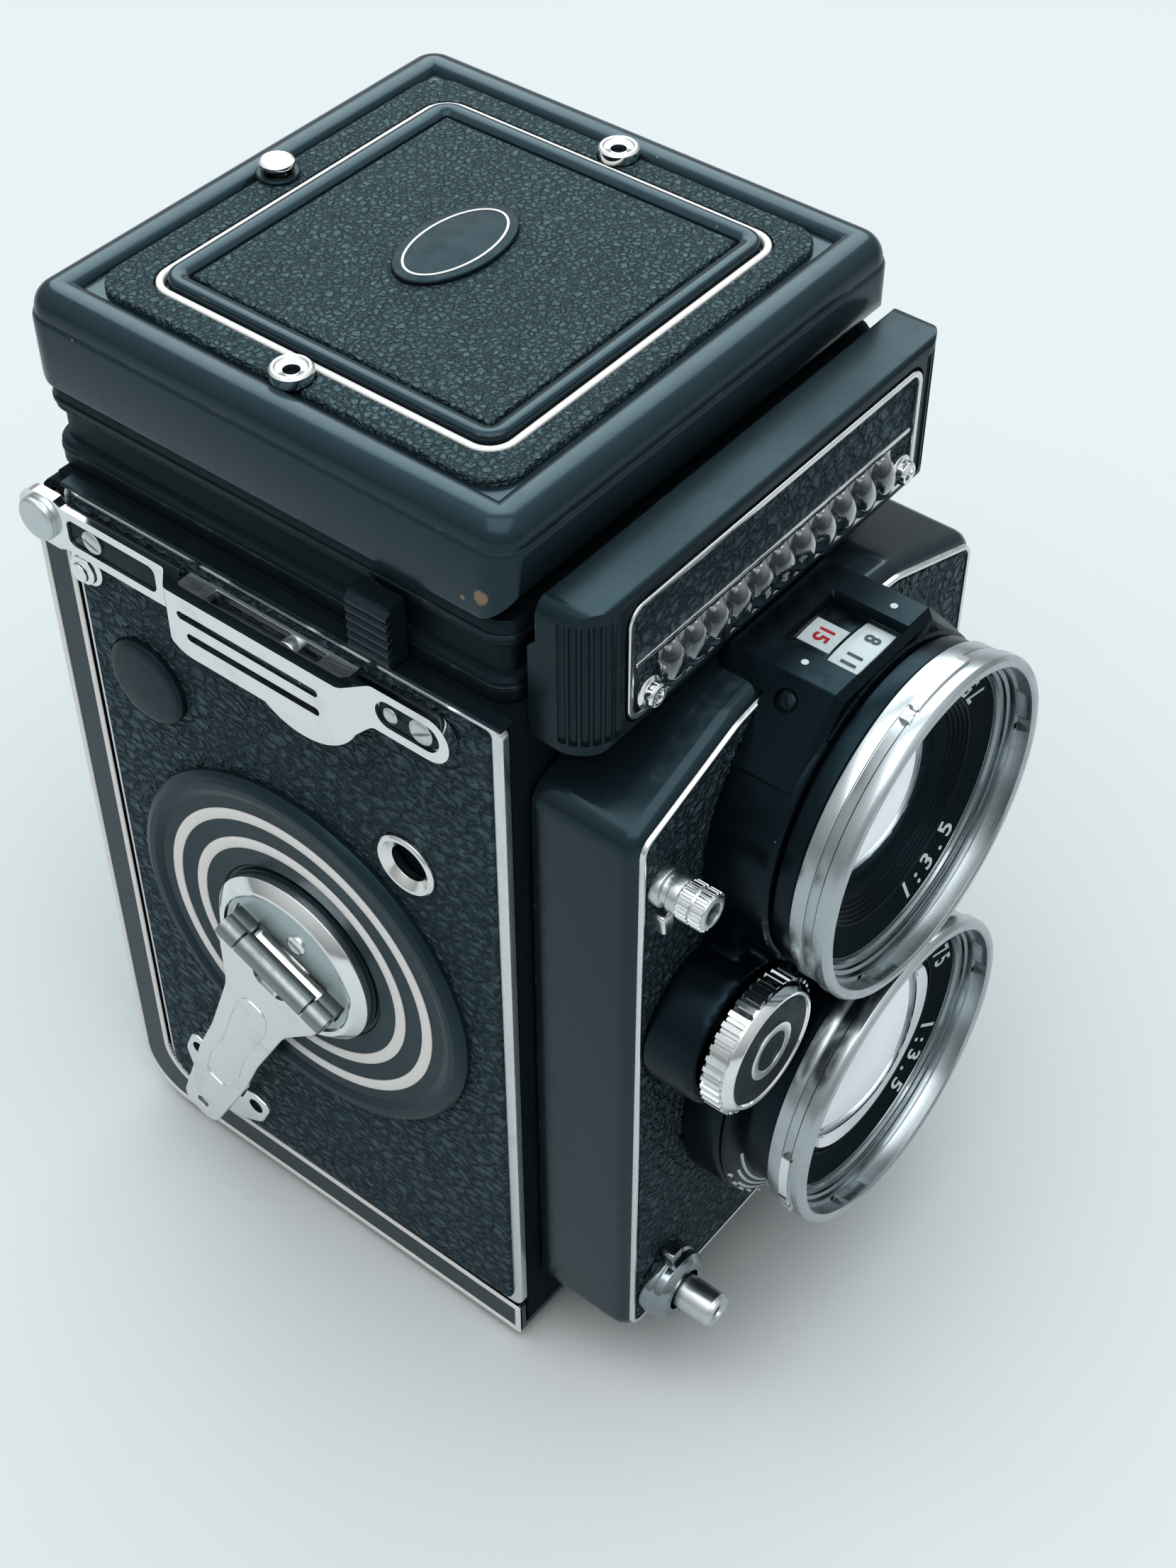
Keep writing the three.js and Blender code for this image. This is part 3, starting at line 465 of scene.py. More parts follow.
def metal(name, colour, roughness, streak_scale, streaks):
    """Plated or machined metal with fine tool marks, smudges and slight tarnish."""
    material, tree, shader = principled(name, colour, roughness, 1.0)
    place = place_of(tree)
    long = node(tree, "Mapping", {"Vector": place, "Scale": streak_scale}).outputs[0]
    lines = noise(tree, long, 0.9, 4, 0.7)
    smudge = noise(tree, place, 6, 4, 0.6)
    rough = calc(tree, "ADD", ramp(tree, lines, 0.3, 0.7, roughness * 0.75, roughness * 1.3),
                 ramp(tree, smudge, 0.5, 0.75, 0.0, 0.09))
    tree.links.new(rough, shader.inputs["Roughness"])
    dull = ramp(tree, smudge, 0.55, 0.8, 0.0, 0.5)
    shade = blended(tree, dull, colour, [c * 0.72 for c in colour])
    tree.links.new(shade, shader.inputs["Base Color"])
    bump(tree, shader, lines, streaks, 0.01)
    return material


def machined(name, colour, roughness, axis, u, v, pitch, strength):
    """Metal turned on a lathe: concentric tool marks around an axis."""
    material, tree, shader = principled(name, colour, roughness, 1.0)
    centre = Vector(spot(axis, u, v, 0)) * MM + ORIGIN
    offset = node(tree, "VectorMath", {0: place_of(tree), 1: centre}, operation="SUBTRACT").outputs[0]
    keep = {"x": (0, 1, 1), "y": (1, 0, 1), "z": (1, 1, 0)}[axis]
    flat = node(tree, "VectorMath", {0: offset, 1: keep}, operation="MULTIPLY").outputs[0]
    radius = node(tree, "VectorMath", {0: flat}, operation="LENGTH").outputs["Value"]
    along = node(tree, "VectorMath", {0: offset, 1: [1 - k for k in keep]}, operation="DOT_PRODUCT")
    reach = calc(tree, "ADD", radius, along.outputs["Value"])
    stacked = node(tree, "CombineXYZ", {"X": reach}).outputs[0]
    marks = noise(tree, stacked, pitch, 3, 0.6)
    smudge = noise(tree, place_of(tree), 5, 4, 0.6)
    rough = calc(tree, "ADD", ramp(tree, marks, 0.3, 0.7, roughness * 0.8, roughness * 1.25),
                 ramp(tree, smudge, 0.5, 0.75, 0.0, 0.1))
    tree.links.new(rough, shader.inputs["Roughness"])
    shade = blended(tree, ramp(tree, smudge, 0.5, 0.8, 0.0, 0.45), colour, [c * 0.7 for c in colour])
    tree.links.new(shade, shader.inputs["Base Color"])
    bump(tree, shader, marks, strength, 0.012)
    return material


def moulded(name, colour, roughness, grain, strength):
    """Fine-textured black: crackle paint, hard rubber or plastic."""
    material, tree, shader = principled(name, colour, roughness)
    place = place_of(tree)
    texture = noise(tree, place, grain, 4, 0.65)
    bump(tree, shader, texture, strength, 0.08)
    rough = ramp(tree, noise(tree, place, grain * 3, 4), 0.3, 0.7, roughness * 0.85, roughness * 1.15)
    tree.links.new(rough, shader.inputs["Roughness"])
    shade = blended(tree, noise(tree, place, grain * 12, 3), [c * 0.8 for c in colour], [c * 1.2 for c in colour])
    tree.links.new(shade, shader.inputs["Base Color"])
    return material


def coated_glass(name, tint, mirror_low, mirror_high, ior=1.6):
    """A coated lens: clear and dark face on, a strong pale reflection at a slant."""
    material, tree, shader = principled(name, tint, 0.0, 0.0, Transmission_Weight=1.0, IOR=ior)
    output = tree.nodes["Material Output"]
    sheen = node(tree, "BsdfGlossy", {"Color": (0.95, 0.97, 1.0, 1), "Roughness": 0.015})
    slant = node(tree, "LayerWeight", {"Blend": 0.5}).outputs["Facing"]
    film = ramp(tree, noise(tree, place_of(tree), 9, 2), 0.3, 0.7, 0.92, 1.0)
    share = calc(tree, "MULTIPLY", ramp(tree, slant, 0.0, 0.6, mirror_low, mirror_high), film)
    mix = node(tree, "MixShader", {0: share, 1: shader.outputs[0], 2: sheen.outputs[0]})
    tree.links.new(mix.outputs[0], output.inputs["Surface"])
    return material


def ink(name, colour):
    material, tree, shader = principled(name, colour, 0.5)
    wear = noise(tree, place_of(tree), 0.4, 4, 0.7)
    tree.links.new(blended(tree, wear, [c * 0.8 for c in colour], colour), shader.inputs["Base Color"])
    return material


SLATE = (0.0122, 0.0235, 0.0315)
SILVER = (0.74, 0.76, 0.77)
LID_CHIPS = [
    (-LID_HALF, LID_FRONT + 3.6, LID_BOTTOM + 3.4, 1.0), (-LID_HALF, LID_FRONT + 6.0, LID_BOTTOM + 2.1, 0.35),
    (-LID_HALF, LID_FRONT + 2.2, LID_BOTTOM + 6.2, 0.4), (-LID_HALF, LID_REAR - 9.0, LID_TOP - 3.4, 0.25),
]
LOOKS = {
    "paint": (painted("black_enamel", SLATE, 0.24, 0.25, 0.4, 0.5), "black_paint"),
    # the lid's enamel is the black enamel painted lighter, as painted light on the bright lid walls; its chips are wear
    # down to the brass
    "lit_lid_paint": (painted("lit_lid_enamel", (0.018, 0.033, 0.043), 0.27, 0.25, 0.35, 0.5, chips=LID_CHIPS), "black_paint"),
    # the lens housing's enamel is the black enamel painted darker, as painted shade
    "shaded_lens_paint": (painted("shaded_lens_housing_enamel", (0.0024, 0.0042, 0.0078), 0.3, 0.2, 0.0), "black_paint"),
    "satin_paint": (painted("satin_black_enamel", (0.011, 0.019, 0.024), 0.36, 0.3, 0.1, 0.3), "black_paint"),
    "skirt_paint": (moulded("hood_skirt_crackle", (0.009, 0.0145, 0.018), 0.46, 0.35, 0.5), "black_paint"),
    "flock": (moulded("inner_black", (0.004, 0.006, 0.008), 0.85, 0.2, 0.6), "black_paint"),
    # the lid leather is painted lighter than the side leather, as painted light on the lit top; its finer grain is its
    # own
    "lit_lid_leather": (leather("lit_lid_leather", 0.9, (1.0, 1.0, 1.0), 0.3, (0.060, 0.086, 0.092), 0.6, 0.4), "leather"),
    "side_leather": (leather("side_leather", 1.8, (1.0, 0.75, 1.2), 1.1, (0.036, 0.051, 0.060), 0.9, 0.08), "leather"),
    "chrome": (metal("bright_chrome", (0.81, 0.83, 0.835), 0.09, (1, 1, 1), 0.1), "chrome"),
    "silver": (metal("silver_edge", SILVER, 0.24, (1, 1, 0.1), 0.15), "satin_metal"),
    "bright_satin": (metal("rubbed_chrome", (0.80, 0.81, 0.80), 0.2, (0.2, 0.2, 0.2), 0.04), "chrome"),
    "satin": (metal("satin_metal", (0.62, 0.66, 0.67), 0.32, (6, 0.3, 1), 0.2), "satin_metal"),
    "tarnished": (metal("worn_steel", (0.33, 0.36, 0.36), 0.38, (1, 5, 0.4), 0.4), "satin_metal"),
    "white_line": (ink("white_line", (0.80, 0.78, 0.76)), "satin_metal"),
    "boss_face": (machined("boss_face", (0.50, 0.57, 0.58), 0.34, "x", CRANK["y"], CRANK["z"], 0.3, 0.2), "satin_metal"),
    "viewing_ring": (machined("viewing_ring", (0.50, 0.54, 0.56), 0.25, "y", 0, VIEWING_Z, 0.6, 0.1), "satin_metal"),
    "taking_ring": (machined("taking_ring", (0.50, 0.54, 0.56), 0.23, "y", 0, TAKING_Z, 0.6, 0.1), "satin_metal"),
    # polished metal painted dark: painted shade and painted dark reflection, on the lens seats and the release guard
    "shaded_polish": (metal("shaded_polished_metal", (0.34, 0.38, 0.40), 0.14, (1, 1, 1), 0.1), "satin_metal"),
    "focus_metal": (machined("focus_metal", (0.62, 0.65, 0.66), 0.28, "x", FOCUS["y"], FOCUS["z"], 0.3, 0.3), "satin_metal"),
    "plastic": (moulded("black_plastic", (0.011, 0.015, 0.018), 0.38, 0.25, 0.15), "plastic"),
    "rubbed_plate": (moulded("sunk_plate", (0.008, 0.0125, 0.015), 0.42, 0.7, 0.9), "black_paint"),
    "dish_paint": (painted("dish_enamel", (0.015, 0.028, 0.036), 0.32, 0.15, 0.15, specks=False), "black_paint"),
    "glass": (coated_glass("coated_glass", (0.9, 0.95, 0.97), 0.4, 1.0), "glass"),
    "clear": (coated_glass("clear_glass", (0.95, 0.97, 0.98), 0.3, 0.9), "glass"),
    "clear_pane": (coated_glass("window_pane_glass", (0.97, 0.99, 1.0), 0.0, 0.02, 1.12), "glass"),
    "meter_glass": (coated_glass("meter_glass", (0.80, 0.87, 0.90), 0.03, 0.6), "glass"),
    "mirror": (metal("front_silvered", (0.92, 0.94, 0.95), 0.02, (1, 1, 1), 0.02), "mirror"),
    "white_ink": (ink("white_ink", (0.66, 0.70, 0.70)), "plastic"),
    "red_ink": (ink("red_ink", (0.50, 0.02, 0.02)), "plastic"),
    "black_ink": (ink("black_ink", (0.03, 0.035, 0.04)), "plastic"),
    "scale_white": (ink("scale_white", (0.62, 0.66, 0.66)), "plastic"),
}


# ---------------------------------------------------------------- from solid to piece
def shade(item, sharp):
    """Smooth shading with creases where faces meet at more than sharp degrees."""
    mesh = bmesh.new()
    mesh.from_mesh(item.data)
    for face in mesh.faces:
        face.smooth = True
    for edge in mesh.edges:
        edge.smooth = edge.calc_face_angle(math.pi) < math.radians(sharp)
    mesh.to_mesh(item.data)
    mesh.free()


def bevel(item, width, segments=3, angle=35):
    step = item.modifiers.new("bevel", "BEVEL")
    step.width = width * MM
    step.segments = segments
    step.limit_method = "ANGLE"
    step.angle_limit = math.radians(angle)
    step.use_clamp_overlap = True
    step.harden_normals = True
    step.miter_outer = "MITER_ARC"


def piece(name, body, look, item, replaces=(), edge=0.0, sharp=32):
    """Makes a finished piece of a solid: row frame, metres, shading, material and the body it rides on."""
    item.name = name
    item.data.name = name
    item.data.transform(Matrix.Translation(ORIGIN) @ Matrix.Scale(MM, 4))
    shade(item, sharp)
    item.data.materials.clear()
    item.data.materials.append(LOOKS[look][0])
    if edge > 0:
        bevel(item, edge)
    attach(item, body)
    if replaces:
        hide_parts(*replaces)
    return item


def keep(look, *names, edge=0.0):
    """A CAD node that is shown as it is, with a finish and softened edges."""
    for name in names:
        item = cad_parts[name]
        item.data.materials.clear()
        item.data.materials.append(LOOKS[look][0])
        if edge > 0:
            bevel(item, edge, 2)


# ---------------------------------------------------------------- hood lid
BEAD = 5.4  # width of the rounded rim round the lid
FIELD_TOP = LID_TOP - 0.75  # the plate under the lid leather
DOOR = {"x": 24.1, "front": -24.9, "rear": 23.3, "radius": 2.6}


def lid_ring(shrink, z, radius=4.2):
    corners = rectangle(-LID_HALF, LID_HALF, LID_FRONT, LID_REAR, radius)
    return [spot("z", u, v, z) for u, v in filleted(inset(corners, shrink), 10)]


def lid_rim():
    """Outer wall, rolled shoulder and rim bead of the lid, as (inset, height) from bottom to field."""
    wall = [(0.45, LID_BOTTOM), (0.1, LID_BOTTOM + 0.35), (0.0, LID_BOTTOM + 1.0), (0.0, LID_TOP - 3.7)]
    step = [(0.12, LID_TOP - 3.35), (0.34, LID_TOP - 3.1)]
    shoulder = []
    for i in range(9):
        t = math.pi / 2 * i / 8
        shoulder.append((0.34 + 2.9 * (1 - math.cos(t)), LID_TOP - 2.9 + 2.9 * math.sin(t)))
    fall = [(4.2, LID_TOP - 0.05), (4.8, LID_TOP - 0.25), (5.15, LID_TOP - 0.55), (BEAD, FIELD_TOP - 0.35)]
    return wall + step + shoulder + fall


def hood_lid():
    rings = [lid_ring(shrink, z) for shrink, z in lid_rim()]
    rings += [lid_ring(BEAD + 0.6, FIELD_TOP - 0.35), lid_ring(8.5, FIELD_TOP - 0.35)]
    opening = rectangle(-24.5, 24.5, -25.3, 23.7, 2.9)
    for z in (FIELD_TOP - 0.35, LID_TOP - 2.1):
        rings.append([spot("z", u, v, z) for u, v in filleted(opening, 10)])
    rings += [lid_ring(1.6, LID_TOP - 2.1, 3.4), lid_ring(1.2, LID_TOP - 2.6, 3.4), lid_ring(1.2, LID_BOTTOM, 3.4)]
    tray = skin(rings, closed=True)
    profile = prism("x", filleted([
        (LID_FRONT, LID_BOTTOM, LID_CURVE), (LID_REAR + 1, LID_BOTTOM, 0),
        (LID_REAR + 1, LID_TOP + 1, 0), (LID_FRONT - 0.001, LID_TOP + 1, 0),
    ], 14), -50, 50)
    piece("hood_lid_shell", "lid", "lit_lid_paint", within(tray, profile), ["hood_lid"], sharp=28)


def lid_covering():
    outer = rectangle(-29.4, 29.4, LID_FRONT + 6.1, LID_REAR - 6.0, 4.2)
    base, top = FIELD_TOP - 0.3, LID_TOP - 0.22
    sheet = pad("z", outer, base, top, 0.35)
    opening = prism("z", filleted(rectangle(-25.9, 25.9, -26.7, 25.1, 3.9), 10), base - 1, top + 1)
    holes = [rod("z", x, y, 2.65, base - 1, top + 1, 32) for x, y in ((-28.2, -0.5), (28.2, -0.5), (0, 28.4))]
    piece("lit_lid_leather", "lid", "lit_lid_leather", cut(sheet, opening, *holes))
    line = rectangle(-25.7, 25.7, -26.5, 24.9, 3.7)
    piece("lid_trim_line", "lid", "white_line", band("z", line, 0.95, base, LID_TOP - 0.15, 0.3, 10))


def finder_door():
    outline = rectangle(-DOOR["x"] - 0.4, DOOR["x"] + 0.4, DOOR["front"] - 0.4, DOOR["rear"] + 0.4, 3.0)
    rings = [[spot("z", u, v, LID_TOP - 1.8) for u, v in filleted(outline, 10)]]
    width, rise = 2.5, 1.15
    for i in range(9):
        t = math.pi * i / 8
        shift = width * (0.5 - 0.5 * math.cos(t)) ** 1.6
        z = LID_TOP - 0.45 + rise * math.sin(t) ** 0.8
        rings.append([spot("z", u, v, z) for u, v in filleted(inset(outline, shift), 10)])
    rings.append([spot("z", u, v, LID_TOP - 0.45) for u, v in filleted(inset(outline, width + 0.6), 10)])
    piece("finder_door_frame", "lid", "lit_lid_paint", skin(rings), ["sports_finder_door"])
    field = inset(outline, width + 0.3)
    piece("finder_door_leather", "lid", "lit_lid_leather", pad("z", field, LID_TOP - 0.5, LID_TOP + 0.2, 0.3, 10))


def blank_emblem():
    """A plain oval plate with a silver line, in the middle of the finder door."""
    oval = [(9.2 * math.cos(2 * math.pi * i / 72) + 1.0, 5.4 * math.sin(2 * math.pi * i / 72) + 1.6) for i in range(72)]

    def ring(scale, z):
        return [spot("z", (u - 1.0) * scale + 1.0, (v - 1.6) * (scale * 1.6 - 0.6) + 1.6, z) for u, v in oval]

    base = LID_TOP + 0.1
    plate = skin([ring(1.0, base), ring(1.0, base + 0.55), ring(0.985, base + 0.68), ring(0.95, base + 0.74)])
    piece("blank_emblem", "lid", "rubbed_plate", plate)
    top = base + 0.7
    line = skin([ring(0.87, top), ring(0.87, top + 0.1), ring(0.835, top + 0.1), ring(0.835, top)], closed=True)
    piece("emblem_line", "lid", "white_line", line)


def lid_fittings():
    for side, name in ((-1, "left"), (1, "right")):
        x, y = side * 28.2, -0.5
        profile = eased([
            (0.95, LID_TOP - 0.3), (2.5, LID_TOP - 0.3), (2.5, LID_TOP + 0.95), (2.2, LID_TOP + 1.2),
            (1.95, LID_TOP + 1.2), (1.75, LID_TOP + 0.95), (0.95, LID_TOP + 0.8),
        ], 0.12)
        piece(f"lid_eyelet_{name}_ring", "lid", "chrome", turned("z", x, y, profile, 48), [f"lid_eyelet_{name}"])
        # a flat black disc closes the eyelet's hole: painted shade for the depth of the hole
        hub = turned("z", x, y, [(0, LID_TOP - 0.2), (0.95, LID_TOP - 0.2), (0.9, LID_TOP + 0.15), (0, LID_TOP)], 32)
        piece(f"lid_eyelet_{name}_hub", "lid", "flock", hub)
    button = eased([
        (0, LID_TOP + 0.25), (1.3, LID_TOP + 0.25), (1.3, LID_TOP + 1.0), (2.15, LID_TOP + 1.15),
        (2.15, LID_TOP + 1.65), (1.8, LID_TOP + 1.8), (0, LID_TOP + 1.85),
    ], 0.12)
    piece("lid_button_head", "button", "chrome", turned("z", 0, 28.4, button, 48), ["lid_button"])
    cup = eased([
        (1.6, LID_TOP - 0.4), (2.7, LID_TOP - 0.4), (2.7, LID_TOP + 0.1), (2.5, LID_TOP + 0.3),
        (2.0, LID_TOP + 0.3), (1.6, LID_TOP),
    ], 0.1)
    piece("button_cup", "lid", "satin_paint", turned("z", 0, 28.4, cup, 48))


def magnifier():
    z = 136.2
    frame_ring = eased([(12.0, z - 0.8), (13.6, z - 0.8), (13.6, z + 0.8), (12.0, z + 0.8)], 0.25)
    piece("magnifier_rim", "lid", "satin", turned("z", 0, 12, frame_ring), ["magnifier"])
    lens = []
    for i in range(9):
        share = i / 8
        lens.append((12.3 * share, z - 1.5 + 1.2 * share * share))
    lens.append((12.3, z + 0.4))
    lens.append((0, z + 0.4))
    piece("magnifier_lens", "lid", "clear", turned("z", 0, 12, lens))
    carrier = cut(
        pad("z", rectangle(-14.6, 14.6, -2.6, 26, 3), z + 0.9, z + 0.1, 0.2),
        rod("z", 0, 12, 13.6, z - 3, z + 3),
    )
    arm = block((-10, 10), (24.6, 26), (z + 0.3, LID_TOP - 2.15))
    foot = block((-10, 10), (25.5, 31.5), (LID_TOP - 3.0, LID_TOP - 2.1))
    piece("magnifier_carrier", "lid", "satin_paint", joined(carrier, arm, foot), edge=0.15)


# ---------------------------------------------------------------- hood base and its catches
def skirt_ring(shrink, z, radius=3.4):
    return [spot("z", u, v, z) for u, v in filleted(inset(rectangle(-34.6, 34.6, -35.4, 34.9, radius), shrink), 8)]


def hood_base():
    outside = [
        (0.0, 117.2), (0.0, 119.9), (0.35, 120.4), (1.0, 120.6), (1.05, 121.2), (1.05, 123.8), (0.9, 124.4),
        (0.45, 124.7), (0.15, 125.1), (0.15, 127.6), (0.5, 128.2), (1.6, 128.3),
    ]
    rings = [skirt_ring(shrink, z) for shrink, z in outside]
    inner = rectangle(-30.5, 30.5, -33, 28, 1.2)
    for z in (128.3, 117.2):
        rings.append([spot("z", u, v, z) for u, v in filleted(inner, 8)])
    piece("hood_skirt", "body", "skirt_paint", skin(rings, closed=True), ["hood_base"])
    for name, z in (("lower", 119.0), ("upper", 126.2)):
        rib = [(0.02, z - 0.35), (-0.12, z - 0.2), (-0.12, z + 0.2), (0.02, z + 0.35), (0.6, z + 0.35), (0.6, z - 0.35)]
        rings = [skirt_ring(shrink, height) for shrink, height in rib]
        piece(f"skirt_bead_{name}", "body", "satin_paint", skin(rings, closed=True))


def hood_catch(side):
    name = "left" if side < 0 else "right"
    low, high, front, rear = 117.6, 126.0, -21.6, -15.6
    teeth = 6
    pitch = (high - low - 0.8) / teeth
    outline = [Vector((35.2, low)), Vector((37.9, low))]
    for tooth in range(teeth):
        z = low + 0.4 + tooth * pitch
        outline += [Vector((38.35, z)), Vector((38.4, z + pitch * 0.5)), Vector((37.55, z + pitch * 0.95))]
    outline += [Vector((37.9, high)), Vector((35.2, high))]
    grip = prism("y", [(side * u, v) for u, v in outline], front, rear)
    piece(f"catch_{name}_grip", f"catch_{name}", "satin_paint", grip, [f"hood_catch_{name}"], edge=0.1, sharp=20)


# ---------------------------------------------------------------- body sides
SIDE_EDGE = [(BODY_FRONT + 0.1, 6.5, 1.5), (30.7, 6.5, 5), (30.7, 116.6, 1.5), (BODY_FRONT + 0.1, 116.6, 1.5)]
SIDE_FIELD = [(BODY_FRONT + 1.6, 7.6, 1.0), (29.6, 7.6, 3.9), (29.6, 115.6, 1.0), (BODY_FRONT + 1.6, 115.6, 1.0)]


def side_cover(side, name, holes, panel_holes):
    panel = pad("x", SIDE_EDGE, side * 36.2, side * PANEL_FACE, 0.3)
    bores = [rod("x", y, z, r, *sorted((side * 35, side * 39))) for y, z, r in panel_holes]
    piece(f"{name}_side_edge", "body", "silver", cut(panel, *bores), [f"{name}_side_panel"])
    sheet = pad("x", SIDE_FIELD, side * (PANEL_FACE + 0.05), side * LEATHER_FACE, 0.3)
    bores = [rod("x", y, z, r, *sorted((side * 36, side * 39))) for y, z, r in holes]
    piece(f"{name}_side_hide", "body", "side_leather", cut(sheet, *bores), [f"{name}_side_leather"])
    ledge = block(sorted((side * 35.5, side * 37.6)), (BODY_FRONT + 0.1, 30.7), (116.5, 117.1))
    piece(f"{name}_side_ledge", "body", "satin_paint", ledge, edge=0.15)


def crank_side_fittings():
    y, z = CRANK["y"], CRANK["z"]
    dish = [
        (4.8, -37.5), (27.7, -37.5), (27.7, -38.5), (27.2, -39.1), (26.4, -39.45), (25.4, -39.45),
        (24.6, -39.15), (24.2, -38.95), (13.6, -38.95), (13.4, -38.6), (4.8, -38.6),
    ]
    piece("crank_dish_plate", "body", "dish_paint", turned("x", y, z, eased(dish, 0.3, 4), 144), ["crank_dish"])
    for name, outer, width in (("outer", 22.4, 1.65), ("inner", 18.0, 1.65)):
        ring = [(outer - width, -38.8), (outer, -38.8), (outer, -39.12), (outer - width, -39.12)]
        piece(f"dish_ring_{name}", "body", "white_line", turned("x", y, z, eased(ring, 0.1, 2), 144))
    window = [
        (2.6, -37.45), (4.4, -37.45), (4.4, -38.3), (4.1, -38.55), (3.7, -38.55), (2.6, -37.7), (2.6, -37.55),
    ]
    cy, cz = COUNTER["y"], COUNTER["z"]
    piece("counter_ring", "body", "bright_satin", turned("x", cy, cz, eased(window, 0.1), 64), ["counter_window_ring"])
    cap = [(0, -37.4), (6.1, -37.4), (6.1, -38.6), (5.6, -39.0), (4.9, -39.15), (2.5, -39.3), (0, -39.35)]
    piece("switch_cap_disc", "body", "satin_paint", turned("x", CAP["y"], CAP["z"], eased(cap, 0.2), 64), ["switch_cap"])


CRANK_PLACE = Matrix.Translation((0, CRANK["y"], CRANK["z"])) @ Matrix.Rotation(CRANK["angle"], 4, "X")


def crank():
    y, z, pivot = CRANK["y"], CRANK["z"], CRANK["pivot"]
    flange = turned("x", y, z, eased([
        (0, -30), (4, -30), (4, -38.75), (12.9, -38.75), (12.9, -40.5), (11.5, -41.7),
        (10.8, -41.7), (10.5, -41.3), (0, -41.3),
    ], 0.12), 128)
    slot = moved(block((-44, -40.4), (-9.6, 9.6), (-2.2, 2.6)), CRANK_PLACE)
    piece("crank_boss_rim", "crank", "chrome", cut(flange, slot), ["crank_boss"])
    face = cut(
        turned("x", y, z, eased([(0, -41.25), (10.4, -41.25), (10.4, -41.42), (0, -41.42)], 0.05), 96),
        moved(block((-44, -40.4), (-9.6, 9.6), (-2.2, 2.6)), CRANK_PLACE),
    )
    piece("crank_boss_face", "crank", "boss_face", face)
    lugs = [moved(block((pivot - 0.2, -40.2), sorted((side * 6.2, side * 9.3)), (-1.2, 1.2)), CRANK_PLACE) for side in (-1, 1)]
    caps = [
        moved(rod("y", pivot, 0, 1.62, *sorted((side * 6.2, side * 9.3)), 32), CRANK_PLACE) for side in (-1, 1)
    ]
    piece("crank_lugs", "crank", "tarnished", joined(lugs[0], lugs[1], *caps), edge=0.12)
    screw = turned("x", 0, 0, eased([(0, -41.3), (1.5, -41.3), (1.5, -41.75), (1.1, -41.95), (0, -41.95)], 0.08), 32)
    piece("boss_screw", "crank", "chrome", moved(screw, CRANK_PLACE @ Matrix.Translation((0, 0, 5.9))))
    pin = rod("y", pivot, 0, 0.9, -9.5, 9.5, 32)
    piece("hinge_pin", "crank", "tarnished", moved(pin, CRANK_PLACE), ["crank_hinge_pin"])


def crank_lever():
    pivot, reach = CRANK["pivot"], CRANK["reach"]
    outline = [
        (-5.9, 1.0, 0.6), (-9.4, -1.2, 1.6), (-8.6, -5.0, 5.0), (-5.4, -12.0, 10.0), (-4.4, -25.0, 8.0),
        (-4.5, -33.0, 8.0), (-3.2, -reach - 3.4, 2.4), (3.2, -reach - 3.4, 2.4), (4.5, -33.0, 8.0),
        (4.4, -25.0, 8.0), (5.4, -12.0, 10.0), (8.6, -5.0, 5.0), (9.4, -1.2, 1.6), (5.9, 1.0, 0.6),
    ]
    blade = pad("x", outline, pivot + 0.95, pivot - 0.15, 0.28)
    moon = prism("x", filleted([(-3.6, -1.9, 0.2), (3.6, -1.9, 0.2), (2.2, -5.0, 2.2), (-2.2, -5.0, 2.2)]), pivot - 2, pivot + 2)
    hole = prism("x", filleted(rectangle(-1.0, 1.0, -reach - 1.0, -reach + 0.6, 0.7)), pivot - 2, pivot + 2)
    barrel = rod("y", pivot, 0, 1.62, -5.9, 5.9, 48)
    bore = rod("y", pivot, 0, 1.05, -7, 7, 32)
    plate = moved(cut(blade, moon, hole, rod("y", pivot, 0, 1.6, -7, 7, 48)), CRANK_PLACE)
    piece("crank_lever_plate", "lever", "bright_satin", plate, ["crank_lever"], edge=0.06)
    piece("lever_barrel", "lever", "tarnished", moved(cut(barrel, bore), CRANK_PLACE), edge=0.08)
    ridge = [
        (-3.0, -15.0, 6.0), (-2.3, -26.5, 6.0), (-2.9, -31.5, 3.0), (-2.2, -37.5, 1.6), (2.2, -37.5, 1.6),
        (2.9, -31.5, 3.0), (2.3, -26.5, 6.0), (3.0, -15.0, 6.0), (2.2, -11.0, 2.0), (-2.2, -11.0, 2.0),
    ]
    line = band("x", ridge, 0.42, pivot - 0.1, pivot - 0.3, 0.1)
    piece("lever_emboss", "lever", "bright_satin", moved(line, CRANK_PLACE))
    knob = eased([(0, pivot + 0.8), (2.2, pivot + 0.8), (2.4, -40.2), (1.9, -39.7), (0, -39.7)], 0.2)
    piece("lever_grip", "lever", "chrome", moved(turned("x", 0, -reach + 4.5, knob, 48), CRANK_PLACE))


def crank_clip():
    reach = CRANK["reach"]
    arch = [
        (-8.0, -reach + 3.6, 1.4), (-7.9, -reach - 1.6, 3.0), (-3.9, -reach - 6.6, 2.2), (3.9, -reach - 6.6, 2.2),
        (7.9, -reach - 1.6, 3.0), (8.0, -reach + 3.6, 1.4),
    ]
    mouth = [(-3.5, -reach + 4, 0), (-3.4, -reach - 0.6, 1.2), (3.4, -reach - 0.6, 1.2), (3.5, -reach + 4, 0)]
    eyes = [rod("x", side * 5.8, -reach + 1.3, 1.25, -41, -36, 32) for side in (-1, 1)]
    clip = cut(pad("x", arch, -37.95, -39.2, 0.35), prism("x", filleted(mouth), -41, -36), *eyes)
    piece("rest_clip", "body", "chrome", moved(clip, CRANK_PLACE), ["crank_rest_clip"])


